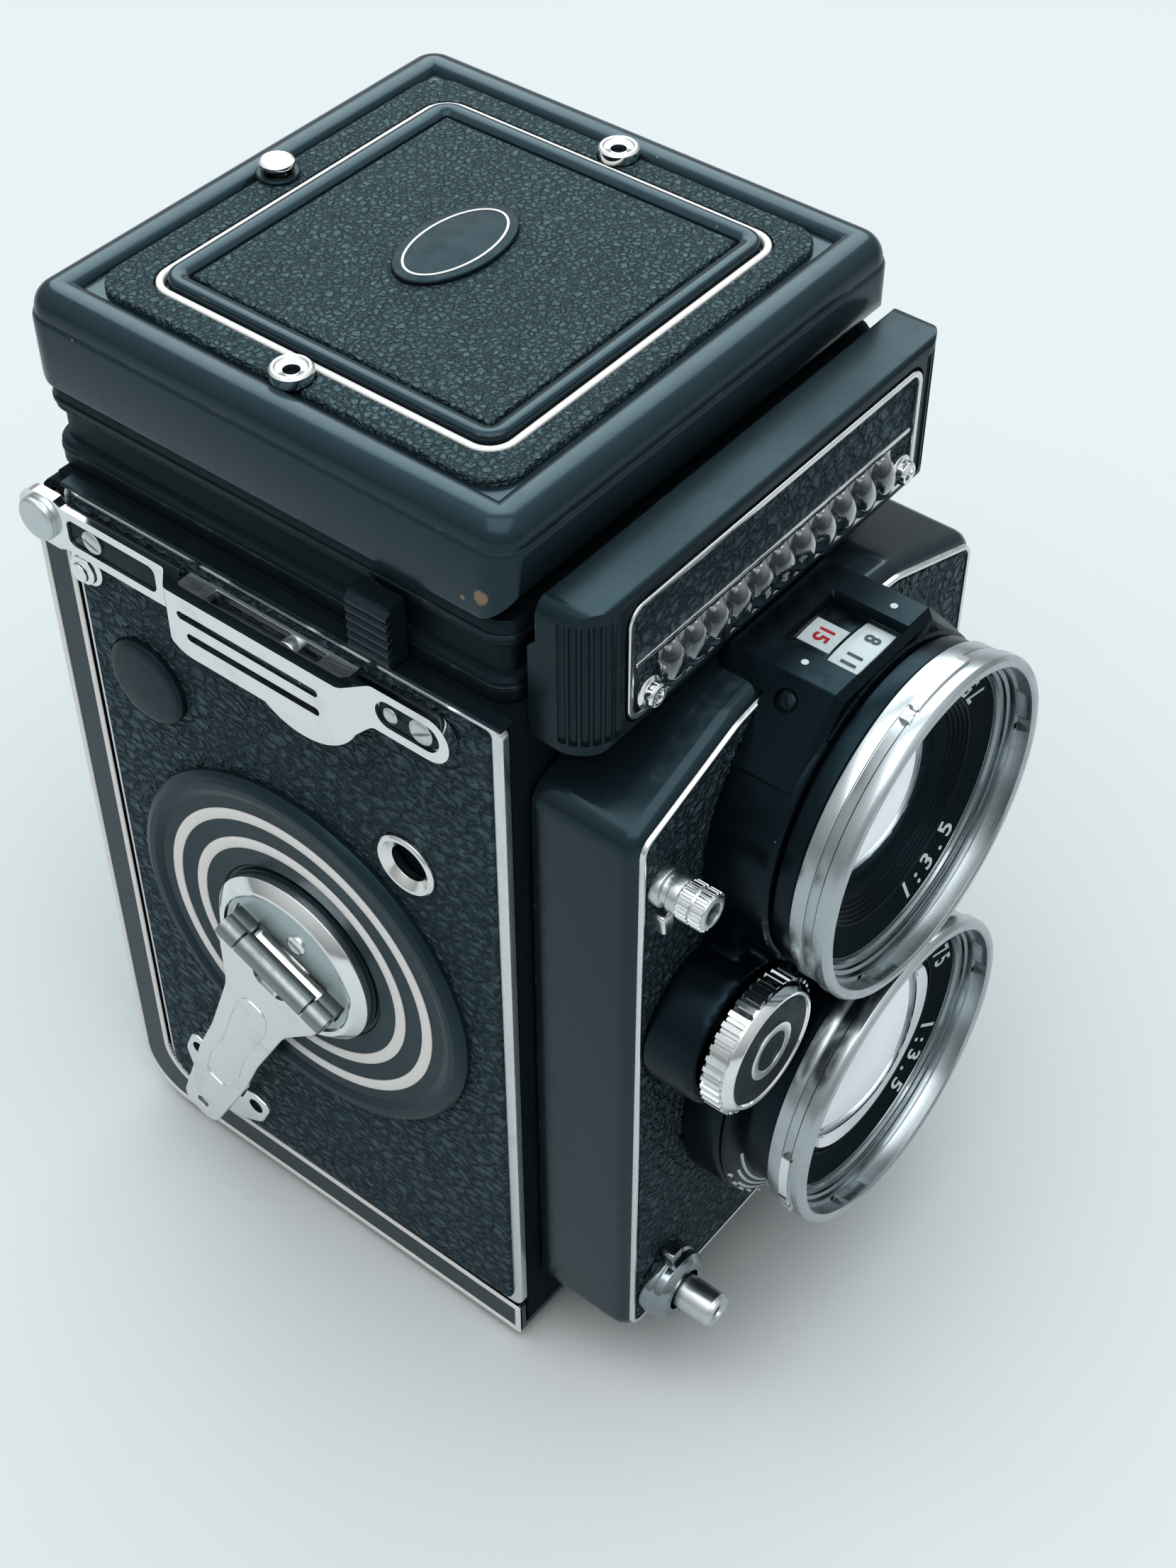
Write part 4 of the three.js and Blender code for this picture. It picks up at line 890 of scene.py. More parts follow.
# ---------------------------------------------------------------- fasteners
def slotted_screw(name, body, look, place, axis, seat, head, radius, turn):
    """A domed screw head with a slot; seat and head are where it starts and ends along the axis."""
    u, v = place
    rise = head - seat
    profile = [(0, seat), (radius, seat), (radius, seat + rise * 0.55), (radius * 0.7, seat + rise * 0.9), (0, head)]
    top = turned(axis, u, v, eased(profile, radius * 0.08), 40)
    if rise < 0:
        profile.reverse()
    depth = (head - rise * 0.45, head + rise)
    groove = prism(axis, filleted(rectangle(-radius * 1.2, radius * 1.2, -radius * 0.13, radius * 0.13)), *sorted(depth))
    spin = {"x": "X", "y": "Y", "z": "Z"}[axis]
    groove = moved(groove, Matrix.Translation(spot(axis, u, v, 0)) @ Matrix.Rotation(turn, 4, spin))
    return piece(name, body, look, cut(top, groove))


def strap_bracket(side):
    name = "left" if side < 0 else "right"
    top, low = 115.3, 109.0
    flat_in, flat_out = side * 38.2, side * 39.6
    up_in, up_out = side * 40.7, side * 42.1
    section = [
        (flat_in, 37.5, 0), (flat_in, 10.6, 1.2), (up_in, 8.4, 1.0), (up_in, -16.2, 1.0), (flat_in, -18.4, 1.2),
        (flat_in, -32, 0), (flat_out, -32, 0), (flat_out, -19.6, 1.0), (up_out, -17.2, 1.4),
        (up_out, 9.4, 1.4), (flat_out, 11.8, 1.0), (flat_out, 37.5, 0),
    ]
    outline = [
        (-30.8, low, 3.1), (-19.4, low, 1.0), (-16.0, low - 2.6, 3.2), (7.4, low - 2.6, 5.0), (11.2, low, 1.5),
        (29, low, 1.6), (30.2, 108.4, 1.6), (36.4, 108.4, 3.6), (36.4, 115.8, 3.6), (30, 115.8, 1.6),
        (29, top, 1.6), (-30.8, top, 3.1),
    ]
    bar = prism("z", filleted(section, 5), 104, 118)
    shape = prism("x", filleted(outline, 10), *sorted((side * 37, side * 43)))
    bar = within(bar, shape)
    cuts = []
    span = sorted((side * 37, side * 43))
    cuts.append(prism("x", filleted(rectangle(13.6, 28.2, 110.3, 114.1, 1.0)), *sorted((side * 39.0, side * 43))))
    cuts.append(prism("x", filleted(rectangle(-29.4, -20.2, 110.3, 114.1, 1.9)), *sorted((side * 39.0, side * 43))))
    for z in (109.1, 111.9):
        cuts.append(prism("x", filleted(rectangle(-14.0, 6.4 if z < 110 else 7.6, z, z + 1.1, 0.54)), *span))
    piece(f"strap_bracket_{name}_bar", "body", "chrome", cut(bar, *cuts), [f"strap_bracket_{name}"], edge=0.3)
    shelf = block(sorted((side * 37.95, side * 40.8)), (-16.8, 9.0), (114.1, top - 0.15))
    pocket = block(sorted((side * 38.5, side * 40.4)), (-12.5, 4.5), (113, top + 1))
    piece(f"bracket_{name}_shelf", "body", "satin", cut(shelf, pocket), edge=0.1)
    floor = block(sorted((side * 38.2, side * 40.6)), (-13.5, 5.5), (112.7, 113.1))
    piece(f"bracket_{name}_floor", "body", "tarnished", floor, edge=0.1)
    disc = rod("x", -9.5, 112, 9.5, *sorted((side * 40.1, side * 40.75)), 96)
    skirt = within(disc, block(span, (-20, 2), (100, 108.5)))
    piece(f"bracket_{name}_skirt", "body", "bright_satin", skirt, edge=0.15)
    for part, y0, y1, radius in (("long", 13.7, 28.1, 0.95), ("short", -29.3, -20.3, 1.85)):
        inlay = pad("x", rectangle(y0, y1, 110.4, 114.0, radius), side * 38.7, side * 39.12, 0.05)
        piece(f"bracket_{name}_inlay_{part}", "body", "rubbed_plate", inlay)
    slotted_screw(f"bracket_{name}_screw_rear", "body", "satin", (24.4, 112.2), "x", side * 39.05, side * 39.75, 1.6, 0.35)
    slotted_screw(f"bracket_{name}_screw_front", "body", "satin", (-26.6, 112.3), "x", side * 39.05, side * 39.75, 1.7, -0.5)
    rivet = [(0, side * 39.0), (1.05, side * 39.0), (1.05, side * 39.5), (0.7, side * 39.72), (0, side * 39.78)]
    piece(f"bracket_{name}_rivet", "body", "satin", turned("x", -22.3, 112.3, eased(rivet, 0.1), 32))
    stud = [(0, side * 39.5), (2.9, side * 39.5), (2.9, side * 40.3), (2.6, side * 40.6), (0, side * 40.7)]
    piece(f"bracket_{name}_pivot", "body", "satin", turned("x", 32.9, 112, eased(stud, 0.2), 48))
    cap = [(0, side * 37.9), (2.6, side * 37.9), (2.6, side * 38.6), (2.0, side * 38.8), (2.0, side * 39.3),
           (1.3, side * 39.5), (1.3, side * 39.9), (0, side * 40.1)]
    piece(f"bracket_{name}_stepped_cap", "body", "chrome", turned("x", 27.3, 106.4, eased(cap, 0.12), 40))
    post = [(0, side * 37.9), (1.5, side * 37.9), (1.5, side * 40.0), (0, side * 40.2)]
    piece(f"bracket_{name}_post", "body", "satin", turned("x", -7.5, 113.4, eased(post, 0.2), 32))


# ---------------------------------------------------------------- nameplate block
PLATE_FRONT = -45.2
PLATE_TOP = 133.2


def nameplate():
    side = prism("x", filleted([
        (PLATE_FRONT, 113.6, 1), (-36.8, 113.6, 0), (-36.8, 126.5, 0), (-37.9, 127.6, 0),
        (-37.9, PLATE_TOP, 0.3), (PLATE_FRONT, PLATE_TOP, 0.9),
    ], 6), -40, 40)
    front = prism("y", filleted(rectangle(-33.4, 33.4, 112, PLATE_TOP + 0.01, 2.2)), -50, -30)
    plan = prism("z", filleted([(-33.4, PLATE_FRONT, 5.0), (33.4, PLATE_FRONT, 5.0), (33.4, -30, 0), (-33.4, -30, 0)], 16), 110, 135)
    recess = prism("y", filleted(rectangle(-27.7, 27.7, 114.9, 131.7, 2.7)), PLATE_FRONT - 1, PLATE_FRONT + 0.8)
    grooves = []
    for side_sign in (-1, 1):
        for k in range(6):
            angle = math.radians(4 + 15 * k)
            centre = Vector((side_sign * 28.4, PLATE_FRONT + 5.0))
            tip = centre + Vector((side_sign * math.sin(angle), -math.cos(angle))) * 5.1
            grooves.append(rod("z", tip.x, tip.y, 0.52, 114.9, 131.6, 12))
    body = cut(within(side, front, plan), recess, *grooves)
    piece("nameplate_block", "body", "satin_paint", body, ["nameplate_housing"], edge=0.18)
    frame_line = rectangle(-27.3, 27.3, 115.3, 131.3, 2.3)
    line = band("y", frame_line, 0.85, PLATE_FRONT + 0.5, PLATE_FRONT - 0.3, 0.2)
    piece("nameplate_frame", "body", "silver", line, ["nameplate_panel"])
    sunk = pad("y", inset(frame_line, 0.9), PLATE_FRONT + 0.6, PLATE_FRONT + 0.15, 0.1)
    piece("nameplate_field", "body", "side_leather", sunk)
    lip = pad("y", rectangle(-25.9, 25.9, 122.6, 123.2, 0.28), PLATE_FRONT + 0.3, PLATE_FRONT - 0.15, 0.12)
    piece("nameplate_divider", "body", "silver", lip)
    lens_strip()
    for sign, name in ((-1, "left"), (1, "right")):
        stud = eased([
            (0, PLATE_FRONT + 0.2), (2.0, PLATE_FRONT + 0.2), (2.0, PLATE_FRONT - 0.5), (1.5, PLATE_FRONT - 0.7),
            (1.5, PLATE_FRONT - 1.5), (1.25, PLATE_FRONT - 1.8), (0.8, PLATE_FRONT - 1.8),
            (0.7, PLATE_FRONT - 0.6), (0, PLATE_FRONT - 0.6),
        ], 0.1)
        piece(f"nameplate_stud_{name}", "body", "chrome", turned("y", sign * 24, 118.2, stud, 48))


def lens_strip():
    """The meter cell's window: a clear strip moulded into a row of tall domes over a dark back."""
    domes, step, up = 11, 12, 14
    x0, x1, z0, z1 = -22.0, 22.0, 116.4, 122.3
    mesh = bmesh.new()
    across = domes * step
    grid = []
    for j in range(up + 1):
        line = []
        for i in range(across + 1):
            across_share = 2 * (i % step) / step - 1
            up_share = 2 * j / up - 1
            dome = math.sqrt(max(0.0, 1 - 0.93 * across_share ** 2 - 0.97 * up_share ** 2))
            inside = 0 < i < across and 0 < j < up
            y = PLATE_FRONT - 0.05 - (1.9 * dome if inside else 0.0)
            line.append(mesh.verts.new((x0 + (x1 - x0) * i / across, y, z0 + (z1 - z0) * j / up)))
        grid.append(line)
    for j in range(up):
        for i in range(across):
            mesh.faces.new((grid[j][i], grid[j][i + 1], grid[j + 1][i + 1], grid[j + 1][i]))
    rim = [grid[0][i] for i in range(across + 1)] + [grid[j][across] for j in range(1, up + 1)]
    rim += [grid[up][i] for i in range(across - 1, -1, -1)] + [grid[j][0] for j in range(up - 1, 0, -1)]
    back = [mesh.verts.new((vert.co.x, PLATE_FRONT + 0.3, vert.co.z)) for vert in rim]
    for i in range(len(rim)):
        j = (i + 1) % len(rim)
        mesh.faces.new((rim[i], rim[j], back[j], back[i]))
    mesh.faces.new(back)
    piece("meter_window", "body", "meter_glass", solid(mesh), sharp=50)


# ---------------------------------------------------------------- front standard
def standard_corners():
    half = STANDARD_HALF
    return [
        (-half, 9.6, 3.2), (half, 9.6, 3.2), (half, 105.5, 3.5), (16, 112, 8), (10, 112.8, 0.4),
        (-10, 112.8, 0.4), (-16, 112, 8), (-half, 105.5, 3.5),
    ]


HUMP = {"half": 9.2, "top": 114.9, "foot": 17.0, "knee": 106.0, "front": -60.5, "rear": -45.4}


def standard():
    shell = pad("y", standard_corners(), STANDARD_REAR, STANDARD_FRONT, 2.2, 10)
    hollow = prism("y", filleted(rectangle(-31.2, 31.2, 12.2, 104.3, 1)), -49.2, -36)
    bores = [rod("y", 0, z, 17.6, -55, -45) for z in (VIEWING_Z, TAKING_Z)]
    shaft = rod("y", RELEASE["x"], RELEASE["z"], 2.8, -55, -45, 32)
    piece("standard_shell", "standard", "paint", cut(shell, hollow, *bores, shaft), ["standard_housing"])
    rim = inset(standard_corners(), 1.15)
    line = band("y", rim, 0.6, STANDARD_FRONT + 0.9, STANDARD_FRONT - 0.3, 0.2, 10)
    hump_gap = block((-HUMP["half"] - 1.4, HUMP["half"] + 1.4), (-54, -49), (104, 116))
    piece("standard_silver_line", "standard", "silver", cut(line, hump_gap))
    field = pad("y", inset(standard_corners(), 2.0), STANDARD_FRONT + 0.5, STANDARD_FRONT - 0.22, 0.3, 10)
    piece("standard_hide", "standard", "side_leather", field, ["standard_leather"])


def hump_section(shift):
    """Outline of the window housing across the camera: a flat top and two flat flanks down to the barrel."""
    half, top, foot, knee = HUMP["half"], HUMP["top"], HUMP["foot"], HUMP["knee"]
    corners = [(-foot, 96, 0), (foot, 96, 0), (foot, knee, 0), (half, top, 0.35), (-half, top, 0.35), (-foot, knee, 0)]
    return filleted(inset(corners, shift), 4)


FLANK_TILT = math.atan2(HUMP["top"] - HUMP["knee"], HUMP["foot"] - HUMP["half"])


def flank(side, along, down):
    """A place on the hump's flat flank, its z axis square to the flank."""
    x = HUMP["half"] + down * math.cos(FLANK_TILT)
    z = HUMP["top"] - down * math.sin(FLANK_TILT)
    return Matrix.Translation((side * x, along, z)) @ Matrix.Rotation(side * FLANK_TILT, 4, "Y")


def lens_casting():
    """The one-piece housing of both lenses, the wheels and the window, with melted inside corners."""
    back = STANDARD_FRONT - 0.1
    wheels = [rod("y", side * WHEEL["x"], WHEEL["z"], 9.9, -59.0, back) for side in (-1, 1)]
    base = joined(
        rod("y", 0, VIEWING_Z, 21.7, -60.9, back),
        rod("y", 0, TAKING_Z, 23.6, -57.9, back),
        *wheels,
        prism("y", filleted(rectangle(-20.5, 20.5, TAKING_Z, VIEWING_Z)), -56.6, back),
        prism("y", filleted(rectangle(-26, 26, WHEEL["z"] - 9, WHEEL["z"] + 7, 4)), -57.0, back),
    )
    soft = soften(base, 0.5, 7)
    hump = skin([
        [spot("y", u, v, w) for u, v in hump_section(shift)]
        for w, shift in ((HUMP["rear"], 0), (HUMP["front"] + 0.9, 0), (HUMP["front"], 1.0))
    ])
    soft = joined(soft, hump)
    bores = [rod("y", 0, z, 17.6, -70, -45) for z in (VIEWING_Z, TAKING_Z)]
    shelf = block((-60, 60), (back + 0.05, -40), (0, 112.5))
    window = block((-4.5, 4.5), (-59.2, -50.0), (112.0, 116))
    flare = skin([
        [(u, v, z) for u, v in filleted(inset(rectangle(-5.1, 5.1, -59.8, -49.4, 0.3), shift))]
        for z, shift in ((115.3, -0.3), (HUMP["top"] - 0.7, 0.6))
    ])
    seats = [moved(rod("z", 0, 0, 1.45, -0.9, 1, 32), flank(side, -54.6, 3.0)) for side in (-1, 1)]
    piece("lens_casting", "standard", "shaded_lens_paint", cut(soft, *bores, shelf, window, flare, *seats), ["lens_housing"], sharp=40)
    for side, name in ((-1, "left"), (1, "right")):
        head = turned("z", 0, 0, eased([(0, -1.1), (1.15, -1.1), (1.15, -0.45), (0.8, -0.2), (0, -0.12)], 0.1), 40)
        groove = block((-1.5, 1.5), (-0.17, 0.17), (-0.5, 0.5))
        screw = moved(cut(head, groove), flank(side, -54.6, 3.0) @ Matrix.Rotation(0.7, 4, "Z"))
        piece(f"hump_screw_{name}", "standard", "satin_paint", screw)


# ---------------------------------------------------------------- lenses
def wedge(z, start, end):
    """A prism that keeps the part of a turned ring between two angles, clockwise from the top in degrees."""
    steps = max(2, int((end - start) / 10))
    turns = [math.radians(start + (end - start) * k / steps) for k in range(steps + 1)]
    outline = [Vector((0, z))] + [Vector((40 * math.sin(t), z + 40 * math.cos(t))) for t in turns]
    return prism("y", outline, -75, -45)


def arc(z, profile, start, end):
    return within(turned("y", 0, z, profile, 160), wedge(z, start, end))


def lens_front(z, name, look, seat_r, seat_from, lug):
    """Barrel and bayonet of one lens, from the seat forwards; lug is where its long lug starts."""
    seat = eased([
        (15.6, -46), (17.2, -46), (17.2, seat_from), (seat_r - 0.7, seat_from), (seat_r - 0.7, seat_from - 0.35),
        (seat_r, seat_from - 0.45), (seat_r, -63.6), (18.4, -63.6), (18.2, -62.0), (15.6, -62.0),
    ], 0.1)
    piece(f"{name}_barrel_body", "standard", "shaded_lens_paint", turned("y", 0, z, seat, 144), [f"{name}_barrel"])
    ring = eased([
        (18.6, -63.75), (21.45, -63.75), (21.7, -64.0), (21.7, -65.75), (21.55, -65.8), (21.55, -65.95),
        (21.75, -66.0), (21.75, -67.1), (22.1, -67.3), (22.1, -68.75), (21.75, -69.3), (20.95, -69.4),
        (20.65, -69.1), (20.65, -67.2), (20.3, -67.2), (20.3, -65.2), (18.6, -65.2),
    ], 0.05, 2)
    bayonet = turned("y", 0, z, ring, 192)
    pockets = []
    for k in range(3):
        turn = math.radians(78 + 120 * k)
        pockets.append(moved(block((-2.3, 2.3), (-68.55, -67.15), (20.0, 21.3)), spin_y(z, turn)))
        pockets.append(moved(block((-0.5, 0.5), (-67.3, -66.4), (19.5, 21.0)), spin_y(z, turn + 0.2)))
    piece(f"{name}_bayonet_ring", "standard", look, cut(bayonet, *pockets), [f"{name}_bayonet"])
    steps = eased([
        (20.35, -65.2), (20.35, -67.15), (20.1, -67.15), (20.1, -66.45), (19.6, -66.3), (19.6, -65.85),
        (19.15, -65.75), (19.0, -65.35), (18.65, -65.35), (18.65, -65.15), (20.35, -65.15),
    ], 0.04, 2)
    # the seat wears the darkened polished metal: painted shade in the recess
    piece(f"{name}_inner_seat", "standard", "shaded_polish", turned("y", 0, z, steps, 160))
    long_lug = [(21.5, -66.1), (22.45, -66.1), (22.45, -67.35), (21.5, -67.35)]
    lugs = together(arc(z, long_lug, lug, lug + 27), arc(z, long_lug, lug - 5, lug - 1.5))
    piece(f"{name}_bayonet_lugs", "standard", "chrome", lugs, edge=0.06)


def spin_y(z, turn):
    """Turns a piece drawn about the origin round a lens axis at height z."""
    return Matrix.Translation((0, 0, z)) @ Matrix.Rotation(turn, 4, "Y")


def name_ring(z, name, inner, depth, groups):
    """The black cone round the glass with plain numbers where the maker's lettering would be.

    A group is a text, its angle in degrees from the bottom (from the top when it reads outwards), the step
    between figures and whether the figures stand with their feet on the glass.
    """
    front = -65.1
    ring = eased([(inner, front + depth + 0.6), (18.7, front + 0.8), (18.7, front), (18.3, front), (inner, front + depth)], 0.05)
    piece(f"{name}_face_ring", "standard", "flock", turned("y", 0, z, ring, 144))
    tilt = math.atan2(depth, 18.3 - inner)
    radius = 16.55
    face = front + depth * (18.3 - radius) / (18.3 - inner) - 0.02
    figures = []
    for text, start, step, outward in groups:
        for index, letter in enumerate(text):
            lean = Matrix.Rotation(math.pi / 2 + (tilt if outward else -tilt), 4, "X")
            place = Matrix.Translation((0, face, radius if outward else -radius))
            turn = math.radians(start + step * index)
            sweep = spin_y(z, turn if outward else -turn)
            figures.append(moved(figure(letter, 3.7), sweep @ place @ lean))
    piece(f"{name}_ring_numbers", "standard", "white_ink", together(*figures))


def lens_group(z, name, inner, depth, radius, elements):
    """Ribbed cone between the name ring and the glass, the elements, and a black disc behind them that is painted shade
    for the dark depth of the barrel.
    """
    rim = -65.1 + depth
    cone = [(inner + 0.5, rim + 0.7), (inner + 0.5, rim)]
    ribs = max(1, round((inner - radius) / 0.42))
    for k in range(ribs):
        r = inner - (inner - radius) * k / ribs
        step = (inner - radius) / ribs
        cone += [(r, rim + 0.34 * k), (r - step * 0.5, rim + 0.34 * k), (r - step * 0.6, rim + 0.34 * k + 0.34)]
    cone += [(radius, rim + 0.34 * ribs), (radius, rim + 9), (inner + 0.5, rim + 9)]
    piece(f"{name}_baffle", "standard", "rubbed_plate", turned("y", 0, z, cone, 128))
    for index, (size, vertex, curve, back_curve, thick) in enumerate(elements):
        piece(
            f"{name}_element_{index + 1}", "standard", "glass" if index == 0 else "clear",
            turned("y", 0, z, lens_profile(size, vertex, curve, back_curve, thick), 128),
            [f"{name}_glass"] if index == 0 else [], sharp=40,
        )
    # a flat black disc that paints the shade deep inside the barrel behind the glass
    painted_shade_disc = [(0, rim + 8.4), (radius + 0.3, rim + 8.4), (radius + 0.3, rim + 8.9), (0, rim + 8.9)]
    piece(f"{name}_depth", "standard", "flock", turned("y", 0, z, painted_shade_disc, 64))


def lens_profile(size, vertex, curve, back_curve, thick):
    """Half section of an element from its front vertex; a positive radius of curvature is convex to the front."""
    def sag(r, radius):
        return math.copysign(abs(radius) - math.sqrt(radius * radius - r * r), radius)

    steps = 16
    front = [(size * k / steps, vertex + sag(size * k / steps, curve)) for k in range(steps + 1)]
    back = [(size * k / steps, vertex + thick + sag(size * k / steps, back_curve)) for k in range(steps, -1, -1)]
    return front + back


def lenses():
    lens_front(VIEWING_Z, "viewing", "viewing_ring", 21.2, -60.95, -12)
    lens_front(TAKING_Z, "taking", "taking_ring", 20.4, -57.9, -108)
    name_ring(VIEWING_Z, "viewing", 14.9, 0.9, [("1:3.5", 12, 8, False), ("75", 122, 9, False)])
    name_ring(TAKING_Z, "taking", 14.7, 0.9, [("75", 66, 9, True), ("1:3.5", 118, 8, True)])
    lens_group(VIEWING_Z, "viewing", 14.9, 0.9, 12.7, [(12.7, -63.7, 27.0, 60.0, 2.6)])
    lens_group(TAKING_Z, "taking", 14.7, 0.9, 14.3, [(14.3, -66.6, 30.0, 40.0, 3.0), (13.6, -60.6, -26.0, 60.0, 1.0)])
    cone = eased([(20.3, -58.0), (23.5, -58.0), (23.5, -58.3), (23.2, -58.6), (20.3, -59.9)], 0.08)
    piece("depth_scale_ring", "standard", "shaded_lens_paint", turned("y", 0, TAKING_Z, cone, 144))
    slope = 1.3 / 2.9
    marks = []
    for r, start, end in ((20.9, 150, 262), (21.7, 160, 252), (22.5, 170, 242)):
        y = -58.6 - (23.2 - r) * slope
        stripe = [(r, y - 0.04), (r + 0.36, y + 0.36 * slope - 0.04), (r + 0.36, y + 0.3), (r, y + 0.2)]
        marks.append(arc(TAKING_Z, stripe, start, end))
    for k in range(12):
        tick = block((-0.13, 0.13), (-59.2, -58.5), (22.95, 23.3))
        marks.append(moved(tick, spin_y(TAKING_Z, math.radians(165 + 8 * k))))
    piece("depth_scale_marks", "standard", "white_ink", together(*marks))
    iris = eased([(7, -51.2), (14.5, -51.2), (14.5, -50.4), (7, -50.4)], 0.1)
    piece("iris_leaves", "iris", "satin_paint", turned("y", 0, TAKING_Z, iris), ["iris_ring"])


def figure(text, height):
    """Generic figures as a thin solid, upright in the xy plane and centred."""
    curve = bpy.data.curves.new("figure", "FONT")
    curve.body = text
    curve.size = height
    curve.extrude = 0.03
    curve.offset = 0.02 * height
    curve.align_x = "CENTER"
    curve.align_y = "CENTER"
    made = bpy.data.objects.new("figure", curve)
    bpy.context.scene.collection.objects.link(made)
    graph = bpy.context.evaluated_depsgraph_get()
    data = bpy.data.meshes.new_from_object(made.evaluated_get(graph))
    bpy.data.objects.remove(made)
    item = bpy.data.objects.new("figure", data)
    bpy.context.scene.collection.objects.link(item)
    return item


def numeral(text, height, place, facing, look, name, body):
    """A dial number; facing is its rotation in design coordinates."""
    return piece(name, body, look, moved(figure(text, height), Matrix.Translation(place) @ facing))


def exposure_window():
    """The window over the viewing lens: the two scales under it and the pane."""
    reach = 21.3
    for name, low, high, body, replaced in (
        ("aperture_scale", -59.2, -54.7, "scale", ["exposure_scale_ring"]), ("speed_scale", -54.5, -50.0, "standard", []),
    ):
        ring = [(20.4, low), (reach, low), (reach, high), (20.4, high)]
        look = "scale_white" if body == "scale" else "shaded_lens_paint"
        piece(name, body, look, turned("y", 0, VIEWING_Z, eased(ring, 0.05), 144), replaced)
    label = [(reach - 0.1, -54.4), (reach + 0.05, -54.4), (reach + 0.05, -50.1), (reach - 0.1, -50.1)]
    piece("speed_label", "standard", "scale_white", arc(VIEWING_Z, label, -7.5, 4.0))
    backwards = Matrix.Rotation(math.pi, 4, "Z")  # read from behind the camera
    for text, x, y, look, body in (
        ("15", -0.6, -52.2, "red_ink", "standard"), ("8", 2.1, -56.9, "black_ink", "scale"),
        ("11", -2.1, -56.9, "black_ink", "scale"),
    ):
        above = math.sqrt((reach + 0.08) ** 2 - x * x) + VIEWING_Z
        lean = Matrix.Rotation(x / reach, 4, "Y")
        numeral(text, 2.7, (x, y, above), lean @ backwards, look, f"scale_number_{text}", body)
    pane = pad("z", rectangle(-4.45, 4.45, -59.15, -50.05, 0.1), 113.75, 113.9, 0.02)
    piece("window_pane", "standard", "clear_pane", pane)
    dots = [rod("z", side * 6.9, y, 0.45, HUMP["top"] - 0.1, HUMP["top"] + 0.05, 24) for side, y in ((-1, -54.0), (1, -56.5))]
    piece("window_index_dots", "standard", "white_ink", together(*dots))


def wheel(side):
    name, body = ("aperture_wheel", "aperture") if side < 0 else ("speed_wheel", "shutter_speed")
    x, z, r = side * WHEEL["x"], WHEEL["z"], WHEEL["r"]
    rim = prism("y", toothed(x, z, r, 0.5, 38, 0.44), -62.5, -59.9)
    front = [(5.0, -62.3), (r - 0.5, -62.3), (r - 0.5, -62.7), (7.9, -63.6), (7.5, -63.6), (7.3, -63.3), (5.0, -63.3)]
    back = [(1.4, -60.0), (r - 0.5, -60.0), (r - 0.9, -59.6), (1.4, -59.6)]
    solids = [turned("y", x, z, eased(profile, 0.06), 96) for profile in (front, back)]
    shaft = rod("y", x, z, 1.5, -60, -52.6, 32)
    piece(f"{name}_rim", body, "chrome", joined(rim, *solids, shaft), [name], edge=0.07)
    face = eased([(0, -62.6), (7.35, -62.6), (7.35, -63.35), (7.1, -63.45), (0, -63.45)], 0.08)
    piece(f"{name}_face", body, "rubbed_plate", turned("y", x, z, face, 96))
    ring = eased([(2.7, -63.3), (3.95, -63.3), (3.95, -63.6), (2.7, -63.6)], 0.06)
    piece(f"{name}_ring", body, "silver", turned("y", x, z, ring, 72))


